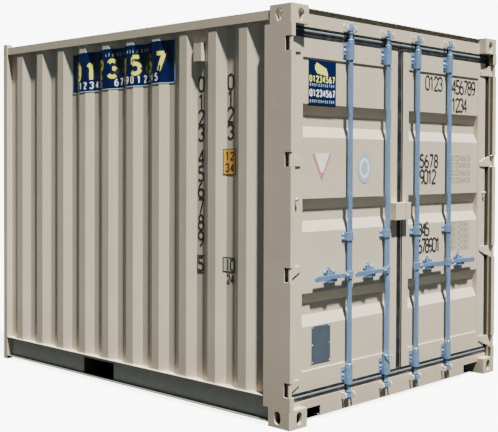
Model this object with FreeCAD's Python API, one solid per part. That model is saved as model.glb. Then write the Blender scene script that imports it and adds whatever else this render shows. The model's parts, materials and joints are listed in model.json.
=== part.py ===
"""Ten-foot steel shipping container with double doors at one end and a plain blind end.

The frame is in millimetres: +Z is up, the doors face -Y, and the origin is at the middle of the
rectangle the container stands on.  Each function below makes one node, or a small family of them.
"""
import FreeCAD
import Part

import math
import os

from FreeCAD import Vector

# ---------------------------------------------------------------- overall sizes
WIDTH = 2438.0
HEIGHT = 2591.0
LENGTH = 3140.0

# ---------------------------------------------------------------- corner castings (door end only)
CASTING_LENGTH = 178.0
CASTING_WIDTH = 162.0
CASTING_HEIGHT = 118.0
CASTING_WALL = 28.0
CASTING_BACK_WALL = 12.0
CASTING_EDGE = 8.0
CASTING_HOLE_WIDTH = 51.0
CASTING_HOLE_HEIGHT = 79.5
CASTING_HOLE_RISE = 4.0
CASTING_HOLE_FROM_END = 101.5
CASTING_HOLE_FROM_SIDE = 89.0
CASTING_SHIELD_TOP = 29.0
CASTING_SHIELD_FOOT = 18.0
TWIST_SLOT_LENGTH = 124.0
TWIST_SLOT_WIDTH = 63.5

# ---------------------------------------------------------------- door posts, end posts and rails
POST_LENGTH = 220.0
POST_FRONT = 38.0
POST_JAMB = 44.0
POST_STEP = 125.0
POST_NOSE = 8.0
POST_WALL = 6.0
END_POST = 50.0
END_POST_WALL = 4.0
TOP_RAIL = 60.0
TOP_RAIL_WALL = 3.0
TOP_RAIL_INSET = 7.0
TOP_RAIL_BOTTOM = 2505.0
BOTTOM_RAIL_BOTTOM = 25.0
BOTTOM_RAIL_TOP = 183.0
BOTTOM_RAIL_DEPTH = 53.0
BOTTOM_RAIL_WALL = 4.5
BOTTOM_RAIL_FLANGE = 5.0
END_RAIL_WALL = 3.0

# ---------------------------------------------------------------- header and sill
FRAME_FACE = 55.0
HEADER_BOTTOM = 2460.0
HEADER_TOP = 2550.0
HEADER_DEPTH = 110.0
HEADER_WALL = 4.0
HEADER_RECESS = 25.0
HEADER_LIP_TOP = 2586.0
HEADER_LIP_THICKNESS = 5.0
SILL_BOTTOM = 25.0
SILL_TOP = 145.0
SILL_DEPTH = 115.0
SILL_WALL = 6.0
SILL_NOTCH_WIDTH = 197.0
SILL_NOTCH_TOP = 90.0

# ---------------------------------------------------------------- sheets
SHEET = 2.0
WALL_INSET = 12.0
RIDGE_OUTER = 72.0
RIDGE_SLOPE = 68.0
RIDGE_INNER = 70.0
RIDGE_DEPTH = 36.0
FIRST_FLAT = 91.0
END_WALL_OUTER = 110.0
END_WALL_SLOPE = 18.0
END_WALL_INNER = 104.0
END_WALL_DEPTH = 45.0
ROOF_RISE = 17.0
ROOF_CREST = 90.0
ROOF_SLOPE = 30.0
ROOF_PITCH = 209.0
ROOF_MARGIN = 45.0

# ---------------------------------------------------------------- floor
FLOOR_TOP = 158.0
BOARD_THICKNESS = 28.0
BOARD_LENGTH = 1150.0
BOARD_GAP = 2.0
MEMBER_BOTTOM = 30.0
MEMBER_FLANGE = 45.0
MEMBER_WALL = 4.0
MEMBER_SPACING = 290.0
POCKET_CENTRE = 1937.0
POCKET_WIDTH = 360.0
POCKET_HEIGHT = 117.0
POCKET_WALL = 4.0

# ---------------------------------------------------------------- side vents
VENT_RIDGE = 2
VENT_TOP = 2415.0
VENT_HEIGHT = 120.0
VENT_WIDTH = 85.0
VENT_DEPTH = 37.0

# ---------------------------------------------------------------- doors
DOOR_FACE = 56.0
DOOR_THICKNESS = 50.0
DOOR_BOTTOM = 188.0
DOOR_TOP = 2416.0
DOOR_CENTRE_GAP = 24.0
DOOR_SIDE_GAP = 70.0
DOOR_TOP_MEMBER = 134.0
DOOR_BOTTOM_MEMBER = 138.0
STILE_CENTRE = 82.0
STILE_HINGE = 104.0
DOOR_TUBE_WALL = 3.0
DRAIN_RADIUS = 6.0
PANEL_INSET = 7.0
PANEL_SHEET = 2.0
PANEL_RECESS_DEPTH = 36.0
PANEL_RECESS_FLAT = 72.0
PANEL_RECESS_SLOPE = 68.0
PANEL_RECESSES = 3
PANEL_RECESS_PITCH = 592.0
PANEL_FIRST_RECESS = 277.0
SEAL_CLEARANCE = 2.0
SEAL_FRONT = 64.0
SEAL_BACK = 94.0
SEAL_BULGE_LEVEL = 12.0
SEAL_BULGE_UPRIGHT = 6.0

# ---------------------------------------------------------------- hinges
HINGES = 4
HINGE_LOWEST = 243.0
HINGE_HIGHEST = 2349.0
HINGE_PIN_INSET = 14.0
HINGE_PIN_RADIUS = 7.5
KNUCKLE_RADIUS = 12.5
KNUCKLE_HEIGHT = 84.0
KNUCKLE_GAP = 2.0
HINGE_NOTCH_DEPTH = 50.0
HINGE_LUG = 20.0
BLADE_THICKNESS = 10.0
BLADE_FOOT = 80.0
BLADE_TIP_HEIGHT = 34.0
RUNNING_CLEARANCE = 0.05

# ---------------------------------------------------------------- lock rods
ROD_RADIUS = 17.0
ROD_WALL = 3.5
ROD_VENT = 2.0
ROD_STANDOFF = 7.0
STUB_RADIUS = 13.0
ROD_OUTER = 595.0
ROD_INNER = 180.0
ROD_BOTTOM = 88.0
ROD_TOP = 2524.0
CAM_HEIGHT = 26.0
CAM_BOTTOM_Z = 100.0
CAM_TOP_Z = 2482.0
CAM_HUB_WALL = 4.5
CAM_REACH = 34.0
CAM_NOSE = 8.0
CAM_RING_HEIGHT = 8.0
CAM_RING_GAP = 9.0
COLLAR_WALL = 5.0
COLLAR_HEIGHT = 13.0
COLLAR_GAP = 2.0
KEEPER_HEIGHT = 40.0
KEEPER_HALF = 50.0
KEEPER_EAR = 11.0
KEEPER_PLATE = 2.5
KEEPER_FRONT = 17.0
KEEPER_BEVEL = 10.0
BRACKET_HEIGHT = 116.0
BRACKET_PLATE = 5.0
BRACKET_PLATE_DROP = 4.0
BRACKET_PLATE_HEIGHT = 100.0
BRACKET_WING = 54.0
BRACKET_COVER_WALL = 6.0
TOP_BRACKET_TOP = 2410.0
BOTTOM_BRACKET_TOP = 302.0
CLAMP_HEIGHT = 54.0
CLAMP_CENTRE = 1150.0
CLAMP_WING = 50.0

# ---------------------------------------------------------------- handles
HANDLE_Z = 900.0
HANDLE_LENGTH = 355.0
HANDLE_PIVOT = 36.0
HANDLE_THICKNESS = 10.0
HANDLE_HEIGHT = 26.0
HANDLE_GRIP = 34.0
HANDLE_GRIP_LENGTH = 150.0
HANDLE_EYE = 17.0
HANDLE_PIN = 6.0
HANDLE_FORWARD = 6.0
HUB_EAR = 5.0
HUB_GAP = 3.0
HUB_WALL = 5.0
HUB_HEIGHT = 50.0
HUB_LOBE = 20.0
CATCH_REACH = 177.0
CATCH_WIDTH = 110.0
CATCH_PLATE = 5.0
CATCH_HEIGHT = 84.0
CATCH_SHELF = 8.0
CATCH_SHELF_HALF = 22.0
CATCH_CLEARANCE = 5.0
CATCH_GUARD = 6.0
CATCH_KNOB_LEFT = 26.0
CATCH_KNOB_RADIUS = 9.0
CATCH_KNOB_TOP = 70.0

# ---------------------------------------------------------------- lock box and data plate
LOCK_BOX_LEFT = 118.0
LOCK_BOX_RIGHT = 63.0
LOCK_BOX_SPLIT = 2.0
LOCK_BOX_BOTTOM = 1237.0
LOCK_BOX_HEIGHT = 118.0
LOCK_BOX_WALL = 4.0
LOCK_BOX_FRONT = 3.0
DATA_PLATE_EDGE = 103.0
DATA_PLATE_WIDTH = 187.0
DATA_PLATE_BOTTOM = 356.0
DATA_PLATE_HEIGHT = 240.0
DATA_PLATE_THICKNESS = 2.0

# ---------------------------------------------------------------- places worked out from the sizes
HALF_W = WIDTH / 2
Y_FRONT = -LENGTH / 2
Y_BACK = LENGTH / 2
WALL_START = Y_FRONT + POST_LENGTH
WALL_END = Y_BACK - END_POST
DOOR_OUTER_X = HALF_W - DOOR_SIDE_GAP
CASTING_INNER_X = HALF_W - CASTING_WIDTH
RAIL_WEB_X = HALF_W - BOTTOM_RAIL_DEPTH
FLOOR_X = RAIL_WEB_X - BOTTOM_RAIL_WALL
TOP_RAIL_X = HALF_W - TOP_RAIL_INSET
TOP_RAIL_TOP = TOP_RAIL_BOTTOM + TOP_RAIL
FLOOR_BOTTOM = FLOOR_TOP - BOARD_THICKNESS
SILL_BACK = Y_FRONT + FRAME_FACE + SILL_DEPTH
POCKET_START = Y_FRONT + POCKET_CENTRE - POCKET_WIDTH / 2
HINGE_X = HALF_W - HINGE_PIN_INSET
HINGE_Y = Y_FRONT + HINGE_PIN_INSET
DOOR_Y = Y_FRONT + DOOR_FACE
ROD_Y = DOOR_Y - ROD_STANDOFF - ROD_RADIUS
PANEL_Y = DOOR_Y + PANEL_INSET
HANDLE_Y = ROD_Y - HANDLE_FORWARD
PANEL_OUTER_X = DOOR_OUTER_X - STILE_HINGE
PANEL_INNER_X = DOOR_CENTRE_GAP + STILE_CENTRE
PANEL_BOTTOM = DOOR_BOTTOM + DOOR_BOTTOM_MEMBER
PANEL_TOP = DOOR_TOP - DOOR_TOP_MEMBER
KEEPER_BOTTOM_Z = CAM_BOTTOM_Z + CAM_HEIGHT / 2 - KEEPER_HEIGHT / 2
KEEPER_TOP_Z = CAM_TOP_Z + CAM_HEIGHT / 2 - KEEPER_HEIGHT / 2
SIDES = {"left": -1, "right": 1}
RODS = {"outer": ROD_OUTER, "inner": ROD_INNER}


# ---------------------------------------------------------------- small helpers
def block(x0, x1, y0, y1, z0, z1):
    """A box between two corners, given in any order along each axis."""
    low = Vector(min(x0, x1), min(y0, y1), min(z0, z1))
    return Part.makeBox(abs(x1 - x0), abs(y1 - y0), abs(z1 - z0), low)


def cylinder(radius, height, x, y, z, direction=(0, 0, 1)):
    """A round bar that starts at a point and runs along a direction."""
    return Part.makeCylinder(radius, height, Vector(x, y, z), Vector(*direction))


def prism(points, direction):
    """A flat outline through the points, carried along a direction."""
    corners = [Vector(*p) for p in points]
    outline = Part.makePolygon(corners + corners[:1])
    return Part.Face(outline).extrude(Vector(*direction))


def plan(points, z0, z1):
    """A plan outline in X and Y, standing from one height to another."""
    return prism([(x, y, z0) for x, y in points], (0, 0, z1 - z0))


def join(solids):
    """The solids fused into one, with flat faces in one plane made into one face."""
    solids = list(solids)
    return solids[0].fuse(solids[1:]).removeSplitter()


def mirrored(shape, side):
    """The shape as made for the right, or its mirror image for the left."""
    if side > 0:
        return shape
    return shape.mirror(Vector(0, 0, 0), Vector(1, 0, 0))


def save(name, solids):
    """Writes one node: every solid in the list, in one file."""
    parts = [solid for shape in solids for solid in shape.Solids]
    whole = parts[0] if len(parts) == 1 else Part.makeCompound(parts)
    whole.exportStep("parts/" + name + ".step")


# ---------------------------------------------------------------- corner castings
def hole_bar(start, run, sideways, low_radius, high_radius):
    """A bar for an upright hole: a low and a high circle, joined by the lines that touch both.

    start is the hole's middle where the bar begins, run is the bar's length and direction, and
    sideways is the level direction across the hole.
    """
    up = Vector(0, 0, 1)
    low = start - up * (CASTING_HOLE_HEIGHT / 2 - low_radius)
    high = start + up * (CASTING_HOLE_HEIGHT / 2 - high_radius)
    lean = math.asin((high_radius - low_radius) / (high - low).Length)
    out = sideways * math.cos(lean) - up * math.sin(lean)
    mirrored_out = sideways * -math.cos(lean) - up * math.sin(lean)
    corners = [low + out * low_radius, high + out * high_radius,
               high + mirrored_out * high_radius, low + mirrored_out * low_radius]
    web = Part.Face(Part.makePolygon(corners + corners[:1])).extrude(run)
    ends = [Part.makeCylinder(r, run.Length, centre, run)
            for r, centre in ((low_radius, low), (high_radius, high))]
    return join([web] + ends)


def twist_slot(x, y, z0, z1):
    """The long slot for a twist lock, along Y."""
    radius = TWIST_SLOT_WIDTH / 2
    straight = TWIST_SLOT_LENGTH / 2 - radius
    middle = block(x - radius, x + radius, y - straight, y + straight, z0, z1)
    ends = [cylinder(radius, z1 - z0, x, y + s * straight, z0) for s in (-1, 1)]
    return join([middle] + ends)


def corner_casting(top):
    """A hollow casting for the right side, with a hole in its side and end and a slot above or below.

    A top casting's upright holes narrow downwards, and a bottom casting's are even ovals.
    """
    z0 = HEIGHT - CASTING_HEIGHT if top else 0.0
    z1 = z0 + CASTING_HEIGHT
    x0 = CASTING_INNER_X
    y1 = Y_FRONT + CASTING_LENGTH
    body = block(x0, HALF_W, Y_FRONT, y1, z0, z1)
    corner = [e for e in body.Edges if edge_is_outer(e)]
    body = body.makeFillet(CASTING_EDGE, corner)
    inside_low = z0 + (CASTING_BACK_WALL if top else CASTING_WALL)
    inside_high = z1 - (CASTING_WALL if top else CASTING_BACK_WALL)
    inside = block(x0 + CASTING_BACK_WALL, HALF_W - CASTING_WALL,
                   Y_FRONT + CASTING_WALL, y1 - CASTING_BACK_WALL, inside_low, inside_high)
    middle_x = HALF_W - CASTING_WIDTH / 2
    middle_y = Y_FRONT + CASTING_LENGTH / 2
    hole_z = (z0 + z1) / 2 + (-CASTING_HOLE_RISE if top else CASTING_HOLE_RISE)
    low_radius = CASTING_SHIELD_FOOT if top else CASTING_HOLE_WIDTH / 2
    high_radius = CASTING_SHIELD_TOP if top else CASTING_HOLE_WIDTH / 2
    through = CASTING_WALL + 2
    side_hole = Vector(HALF_W - through + 1, Y_FRONT + CASTING_HOLE_FROM_END, hole_z)
    end_hole = Vector(HALF_W - CASTING_HOLE_FROM_SIDE, Y_FRONT - 1, hole_z)
    cuts = [inside,
            hole_bar(side_hole, Vector(through, 0, 0), Vector(0, 1, 0), low_radius, high_radius),
            hole_bar(end_hole, Vector(0, through, 0), Vector(1, 0, 0), low_radius, high_radius)]
    if top:
        cuts.append(twist_slot(middle_x, middle_y, inside_high - 1, z1 + 1))
    else:
        cuts.append(twist_slot(middle_x, middle_y, z0 - 1, inside_low + 1))
    return body.cut(cuts)


def edge_is_outer(edge):
    """True for the upright edge at a container's outer corner."""
    middle = edge.CenterOfMass
    upright = abs(edge.tangentAt(edge.FirstParameter).z) > 0.9
    return upright and abs(middle.x - HALF_W) < 1 and abs(middle.y - Y_FRONT) < 1


def build_castings():
    for name, side in SIDES.items():
        save("corner_casting_top_" + name, [mirrored(corner_casting(True), side)])
        save("corner_casting_bottom_" + name, [mirrored(corner_casting(False), side)])


# ---------------------------------------------------------------- hinges
def hinge_heights():
    """The middle height of each hinge, evenly spaced."""
    step = (HINGE_HIGHEST - HINGE_LOWEST) / (HINGES - 1)
    return [HINGE_LOWEST + step * i for i in range(HINGES)]


def door_post():
    """The right door post: a closed pressed section, notched at its front for each hinge."""
    x = HALF_W
    y = Y_FRONT
    t = POST_WALL
    z0 = CASTING_HEIGHT
    z1 = HEIGHT - CASTING_HEIGHT
    outside = plan([(x, y), (x, y + POST_LENGTH), (FLOOR_X, y + POST_LENGTH),
                    (FLOOR_X, y + POST_STEP), (x - POST_JAMB, y + POST_STEP),
                    (x - POST_JAMB, y + POST_NOSE), (x - POST_FRONT, y)], z0, z1)
    inside = plan([(x - t, y + t), (x - t, y + POST_LENGTH - t),
                   (FLOOR_X + t, y + POST_LENGTH - t),
                   (FLOOR_X + t, y + POST_STEP + t), (x - POST_JAMB + t, y + POST_STEP + t),
                   (x - POST_JAMB + t, y + t)], z0 - 1, z1 + 1)
    notches = [block(x - POST_JAMB - 1, x + 1, y - 1, y + HINGE_NOTCH_DEPTH, z - half, z + half)
               for z in hinge_heights() for half in [KNUCKLE_HEIGHT / 2 + KNUCKLE_GAP]]
    return outside.cut([inside] + notches)


def hinge_lugs():
    """For each right hinge: a pin, with a lug above and below it inside the post."""
    lugs = []
    half = KNUCKLE_HEIGHT / 2 + KNUCKLE_GAP
    x0 = HALF_W - POST_JAMB + POST_WALL
    x1 = HALF_W - POST_WALL
    y0 = Y_FRONT + POST_WALL
    y1 = Y_FRONT + HINGE_NOTCH_DEPTH
    for z in hinge_heights():
        pin = cylinder(HINGE_PIN_RADIUS, 2 * (half + HINGE_LUG), HINGE_X, HINGE_Y, z - half - HINGE_LUG)
        above = block(x0, x1, y0, y1, z + half, z + half + HINGE_LUG)
        below = block(x0, x1, y0, y1, z - half - HINGE_LUG, z - half)
        lugs.append(join([pin, above, below]))
    return lugs


def hinge_blade(z, top_slope, bottom_slope):
    """A knuckle on the pin, and a blade that runs obliquely back to the door's face."""
    x = HINGE_X
    y = HINGE_Y
    z0 = z - KNUCKLE_HEIGHT / 2
    knuckle = cylinder(KNUCKLE_RADIUS, KNUCKLE_HEIGHT, x, y, z0)
    reach = HINGE_X - DOOR_OUTER_X
    back = DOOR_Y - HINGE_Y
    t = BLADE_THICKNESS
    outline = [(x - 2, y + KNUCKLE_RADIUS - 1), (x - reach / 2, y + back * 0.7),
               (x - reach, y + back), (x - reach - BLADE_FOOT, y + back),
               (x - reach - BLADE_FOOT, y + back - t * 0.6), (x - reach, y + back - t),
               (x - reach / 2, y + back * 0.7 - t * 1.2), (x - 2, y - 1)]
    blade = plan(outline, z0, z0 + KNUCKLE_HEIGHT)
    tip = x - reach - BLADE_FOOT
    start = x - KNUCKLE_RADIUS
    drop = KNUCKLE_HEIGHT - BLADE_TIP_HEIGHT
    low_tip = z0 + drop * bottom_slope
    high_tip = z0 + KNUCKLE_HEIGHT - drop * top_slope
    side_view = [(x + KNUCKLE_RADIUS, z0), (start, z0), (tip, low_tip), (tip, high_tip),
                 (start, z0 + KNUCKLE_HEIGHT), (x + KNUCKLE_RADIUS, z0 + KNUCKLE_HEIGHT)]
    shaped = prism([(px, Y_FRONT - 1, pz) for px, pz in side_view], (0, DOOR_FACE + 2, 0))
    bore = cylinder(HINGE_PIN_RADIUS + RUNNING_CLEARANCE, KNUCKLE_HEIGHT + 2, x, y, z0 - 1)
    return join([knuckle, blade.common(shaped)]).cut(bore)


def hinge_blades():
    """The four blades of the right door; the lower two taper from below, the upper two from above."""
    heights = hinge_heights()
    middle = (heights[0] + heights[-1]) / 2
    return [hinge_blade(z, 1.0 if z > middle else 0.0, 0.0 if z > middle else 1.0) for z in heights]


# ---------------------------------------------------------------- header and sill
def door_header():
    """The box beam over the doors, with a set-back strip and a thin lip on top."""
    y0 = Y_FRONT + FRAME_FACE
    y1 = y0 + HEADER_DEPTH
    inner = CASTING_INNER_X
    outer = HALF_W - POST_JAMB
    under = HEIGHT - CASTING_HEIGHT
    beam = block(-inner, inner, y0, y1, HEADER_BOTTOM, HEADER_TOP)
    t = HEADER_WALL
    hollow = block(-inner - 1, inner + 1, y0 + t, y1 - t, HEADER_BOTTOM + t, HEADER_TOP - t)
    ends = [block(s * inner, s * outer, y0, Y_FRONT + POST_STEP, HEADER_BOTTOM, under) for s in (-1, 1)]
    strip = block(-inner, inner, y0 + HEADER_RECESS, y0 + HEADER_RECESS + t, HEADER_TOP, HEADER_LIP_TOP)
    lip = block(-inner, inner, y0 - 3, y1, HEADER_LIP_TOP - HEADER_LIP_THICKNESS, HEADER_LIP_TOP)
    return join([beam.cut(hollow), strip, lip] + ends)


def door_sill():
    """The pressed sill: a front plate cut away beside each casting, and a top plate."""
    y0 = Y_FRONT + FRAME_FACE
    y1 = y0 + SILL_DEPTH
    inner = CASTING_INNER_X
    outer = HALF_W - POST_JAMB
    front = block(-inner, inner, y0, y0 + SILL_WALL, SILL_BOTTOM, SILL_TOP)
    notches = [block(s * (inner - SILL_NOTCH_WIDTH), s * (inner + 1), y0 - 1, y0 + SILL_WALL + 1,
                     SILL_BOTTOM - 1, SILL_NOTCH_TOP) for s in (-1, 1)]
    ends = [block(s * inner, s * outer, y0, Y_FRONT + POST_STEP, CASTING_HEIGHT, SILL_TOP) for s in (-1, 1)]
    top = block(-inner, inner, y0, y1, SILL_TOP - SILL_WALL, SILL_TOP)
    foot = block(-inner + SILL_NOTCH_WIDTH, inner - SILL_NOTCH_WIDTH, y0, y0 + SILL_DEPTH / 2,
                 SILL_BOTTOM, SILL_BOTTOM + SILL_WALL)
    return join([front.cut(notches), top, foot] + ends)


def cam_keeper(x, z0):
    """An open-fronted keeper: a thin back plate between two ears."""
    y0 = Y_FRONT + KEEPER_FRONT
    y1 = Y_FRONT + FRAME_FACE
    z1 = z0 + KEEPER_HEIGHT
    plate = block(x - KEEPER_HALF, x + KEEPER_HALF, y1 - KEEPER_PLATE, y1, z0, z1)
    bevel = KEEPER_BEVEL
    ear = [(y1, z0), (y1, z1), (y0 + bevel, z1), (y0, z1 - bevel), (y0, z0 + bevel), (y0 + bevel, z0)]
    ears = []
    for s in (-1, 1):
        start = x + s * KEEPER_HALF
        ears.append(prism([(start, y, z) for y, z in ear], (-s * KEEPER_EAR, 0, 0)))
    return join([plate] + ears)


# ---------------------------------------------------------------- sheets, rails and end posts
def corrugated_outline(length, first, outer, inner, slope, depth):
    """Points along a folded sheet, from 0: (distance, height above the inner flats)."""
    pitch = outer + inner + 2 * slope
    count = int((length - first + inner / 2) // pitch)
    points = [(0.0, 0.0)]
    for i in range(count):
        start = first + i * pitch
        points += [(start, 0.0), (start + slope, depth), (start + slope + outer, depth),
                   (start + 2 * slope + outer, 0.0)]
    return points + [(length, 0.0)]


def side_wall():
    """The right side wall: one folded sheet between the door post and the end post."""
    points = corrugated_outline(WALL_END - WALL_START, FIRST_FLAT, RIDGE_OUTER, RIDGE_INNER,
                                RIDGE_SLOPE, RIDGE_DEPTH)
    base = HALF_W - WALL_INSET - RIDGE_DEPTH
    outside = [(base + h, WALL_START + d) for d, h in points]
    inside = [(x - SHEET, y) for x, y in reversed(outside)]
    return plan(outside + inside, BOTTOM_RAIL_TOP, TOP_RAIL_BOTTOM)


def end_wall():
    """The blind end's wall: upright folds, spread evenly between the end posts."""
    width = WIDTH - 2 * END_POST
    pitch = END_WALL_OUTER + END_WALL_INNER + 2 * END_WALL_SLOPE
    count = int((width - END_WALL_INNER) // pitch)
    first = (width - count * pitch + END_WALL_INNER) / 2
    points = corrugated_outline(width, first, END_WALL_OUTER, END_WALL_INNER, END_WALL_SLOPE,
                                END_WALL_DEPTH)
    base = Y_BACK - END_POST + SHEET
    outside = [(-width / 2 + d, base + h) for d, h in points]
    inside = [(x, y - SHEET) for x, y in reversed(outside)]
    return plan(outside + inside, BOTTOM_RAIL_TOP, TOP_RAIL_BOTTOM)


def roof_block(z0, rise):
    """The roof's outer form: a flat slab with a raised pan across it at every pitch."""
    half_x = TOP_RAIL_X - TOP_RAIL_INSET
    y0 = Y_FRONT + CASTING_LENGTH
    y1 = WALL_END
    slab = block(-half_x, half_x, y0, y1, z0 - 10, z0)
    count = int((y1 - y0 - ROOF_MARGIN) // ROOF_PITCH)
    pan_length = ROOF_CREST + 2 * ROOF_SLOPE
    start = y0 + (y1 - y0 - (count - 1) * ROOF_PITCH - pan_length) / 2
    foot_x = half_x - ROOF_MARGIN
    crest_x = foot_x - ROOF_SLOPE
    pans = []
    for i in range(count):
        a = start + i * ROOF_PITCH
        foot = rectangle(foot_x, a, a + pan_length, z0 - 1)
        crest = rectangle(crest_x, a + ROOF_SLOPE, a + pan_length - ROOF_SLOPE, z0 + rise)
        pans.append(Part.makeLoft([foot, crest], True, True))
    return slab.fuse(pans)


def rectangle(half_x, y0, y1, z):
    """A closed rectangular wire at one height, centred on X."""
    corners = [(-half_x, y0), (half_x, y0), (half_x, y1), (-half_x, y1), (-half_x, y0)]
    return Part.makePolygon([Vector(x, y, z) for x, y in corners])


def roof_panel():
    """The pressed roof sheet, of even thickness measured upright."""
    top = roof_block(TOP_RAIL_TOP + SHEET, ROOF_RISE - SHEET)
    under = roof_block(TOP_RAIL_TOP, ROOF_RISE - SHEET)
    sheet = top.cut(under)
    below = block(-WIDTH, WIDTH, -LENGTH, LENGTH, 0, TOP_RAIL_TOP)
    return sheet.cut(below)


def top_side_rail():
    """The right top rail, a square tube from the casting to the end post."""
    x1 = TOP_RAIL_X
    x0 = x1 - TOP_RAIL
    y0 = Y_FRONT + CASTING_LENGTH
    t = TOP_RAIL_WALL
    tube = block(x0, x1, y0, WALL_END, TOP_RAIL_BOTTOM, TOP_RAIL_TOP)
    return tube.cut(block(x0 + t, x1 - t, y0 - 1, WALL_END + 1, TOP_RAIL_BOTTOM + t, TOP_RAIL_TOP - t))


def bottom_side_rail():
    """The right bottom rail, a channel open outwards, cut through for the forklift pocket."""
    x0 = FLOOR_X
    y0 = Y_FRONT + CASTING_LENGTH
    f = BOTTOM_RAIL_FLANGE
    web = block(x0, RAIL_WEB_X, y0, WALL_END, BOTTOM_RAIL_BOTTOM, BOTTOM_RAIL_TOP)
    upper = block(x0, HALF_W, y0, WALL_END, BOTTOM_RAIL_TOP - f, BOTTOM_RAIL_TOP)
    lower = block(x0, HALF_W, y0, WALL_END, BOTTOM_RAIL_BOTTOM, BOTTOM_RAIL_BOTTOM + f)
    under_post = block(x0 - 1, HALF_W + 1, y0 - 1, WALL_START, CASTING_HEIGHT, HEIGHT)
    pocket = block(x0 - 1, RAIL_WEB_X + 1, POCKET_START, POCKET_START + POCKET_WIDTH,
                   BOTTOM_RAIL_BOTTOM + f, BOTTOM_RAIL_BOTTOM + f + POCKET_HEIGHT)
    return join([web, upper, lower]).cut([under_post, pocket])


def end_post():
    """The right blind-end post, a square tube that stands on the ground."""
    t = END_POST_WALL
    tube = block(HALF_W - END_POST, HALF_W, WALL_END, Y_BACK, 0, HEIGHT)
    hollow = block(HALF_W - END_POST + t, HALF_W - t, WALL_END + t, Y_BACK - t, -1, HEIGHT - t)
    return tube.cut(hollow)


def end_rail(z0, z1):
    """A cross tube between the end posts."""
    half = HALF_W - END_POST
    t = END_RAIL_WALL
    tube = block(-half, half, WALL_END, Y_BACK, z0, z1)
    return tube.cut(block(-half - 1, half + 1, WALL_END + t, Y_BACK - t, z0 + t, z1 - t))


def side_vent():
    """A vent cover on the right wall's inner flat, between two ridges."""
    pitch = RIDGE_OUTER + RIDGE_INNER + 2 * RIDGE_SLOPE
    centre = WALL_START + FIRST_FLAT + VENT_RIDGE * pitch - RIDGE_INNER / 2
    base = HALF_W - WALL_INSET - RIDGE_DEPTH
    half_base = RIDGE_INNER / 2
    half = VENT_WIDTH / 2
    lift = (half - half_base) * RIDGE_DEPTH / RIDGE_SLOPE
    outline = [(base, centre - half_base), (base + lift, centre - half), (base + VENT_DEPTH - 6, centre - half),
               (base + VENT_DEPTH, centre - half + 6), (base + VENT_DEPTH, centre + half - 6),
               (base + VENT_DEPTH - 6, centre + half), (base + lift, centre + half),
               (base, centre + half_base)]
    return plan(outline, VENT_TOP - VENT_HEIGHT, VENT_TOP)


# ---------------------------------------------------------------- floor
def member_starts():
    """Where each cross member starts along Y, clear of the forklift pocket."""
    first = SILL_BACK + 20
    last = WALL_END - MEMBER_FLANGE - 20
    count = int(round((last - first) / MEMBER_SPACING)) + 1
    step = (last - first) / (count - 1)
    starts = [first + i * step for i in range(count)]
    low = POCKET_START - POCKET_WALL - MEMBER_FLANGE - 1
    high = POCKET_START + POCKET_WIDTH + POCKET_WALL + 1
    return [y for y in starts if y < low or y > high]


def cross_members():
    """Channel bearers from rail web to rail web, under the floor."""
    half = FLOOR_X
    t = MEMBER_WALL
    z0 = MEMBER_BOTTOM
    z1 = FLOOR_BOTTOM
    members = []
    for y in member_starts():
        f = y + MEMBER_FLANGE
        outline = [(y, z0), (f, z0), (f, z0 + t), (y + t, z0 + t), (y + t, z1 - t), (f, z1 - t),
                   (f, z1), (y, z1)]
        members.append(prism([(-half, py, pz) for py, pz in outline], (2 * half, 0, 0)))
    return members


def floor_boards():
    """Plywood boards laid side by side from the sill to the blind end."""
    half = FLOOR_X
    length = WALL_END - SILL_BACK
    count = max(1, int(math.ceil(length / BOARD_LENGTH)))
    pocket_top = BOTTOM_RAIL_BOTTOM + BOTTOM_RAIL_FLANGE + POCKET_HEIGHT + POCKET_WALL
    step = length / count
    t = POCKET_WALL
    relief = block(-half - 1, half + 1, POCKET_START - t, POCKET_START + POCKET_WIDTH + t, 0, pocket_top)
    boards = [block(-half, half, SILL_BACK + i * step, SILL_BACK + (i + 1) * step - BOARD_GAP,
                    FLOOR_BOTTOM, FLOOR_TOP) for i in range(count)]
    return [board.cut(relief) for board in boards]


def forklift_pocket():
    """A tunnel for one fork, from rail web to rail web: two sides and a top."""
    half = FLOOR_X
    z0 = BOTTOM_RAIL_BOTTOM + BOTTOM_RAIL_FLANGE
    z1 = z0 + POCKET_HEIGHT
    y0 = POCKET_START
    y1 = y0 + POCKET_WIDTH
    t = POCKET_WALL
    shell = block(-half, half, y0 - t, y1 + t, z0, z1 + t)
    return shell.cut(block(-half - 1, half + 1, y0, y1, z0 - 1, z1))


# ---------------------------------------------------------------- doors
def door_frame():
    """The right door's frame: one hollow ring of tube, with a drain hole under each stile."""
    y0 = DOOR_Y
    y1 = DOOR_Y + DOOR_THICKNESS
    x0 = DOOR_CENTRE_GAP
    x1 = DOOR_OUTER_X
    t = DOOR_TUBE_WALL
    ring = block(x0, x1, y0, y1, DOOR_BOTTOM, DOOR_TOP).cut(
        block(PANEL_INNER_X, PANEL_OUTER_X, y0 - 1, y1 + 1, PANEL_BOTTOM, PANEL_TOP))
    hollow = block(x0 + t, x1 - t, y0 + t, y1 - t, DOOR_BOTTOM + t, DOOR_TOP - t).cut(
        block(PANEL_INNER_X - t, PANEL_OUTER_X + t, y0, y1, PANEL_BOTTOM - t, PANEL_TOP + t))
    middle = (y0 + y1) / 2
    drains = [cylinder(DRAIN_RADIUS, 2 * t, x, middle, DOOR_BOTTOM - t / 2)
              for x in (x0 + STILE_CENTRE / 2, x1 - STILE_HINGE / 2)]
    return ring.cut([hollow] + drains)


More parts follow.
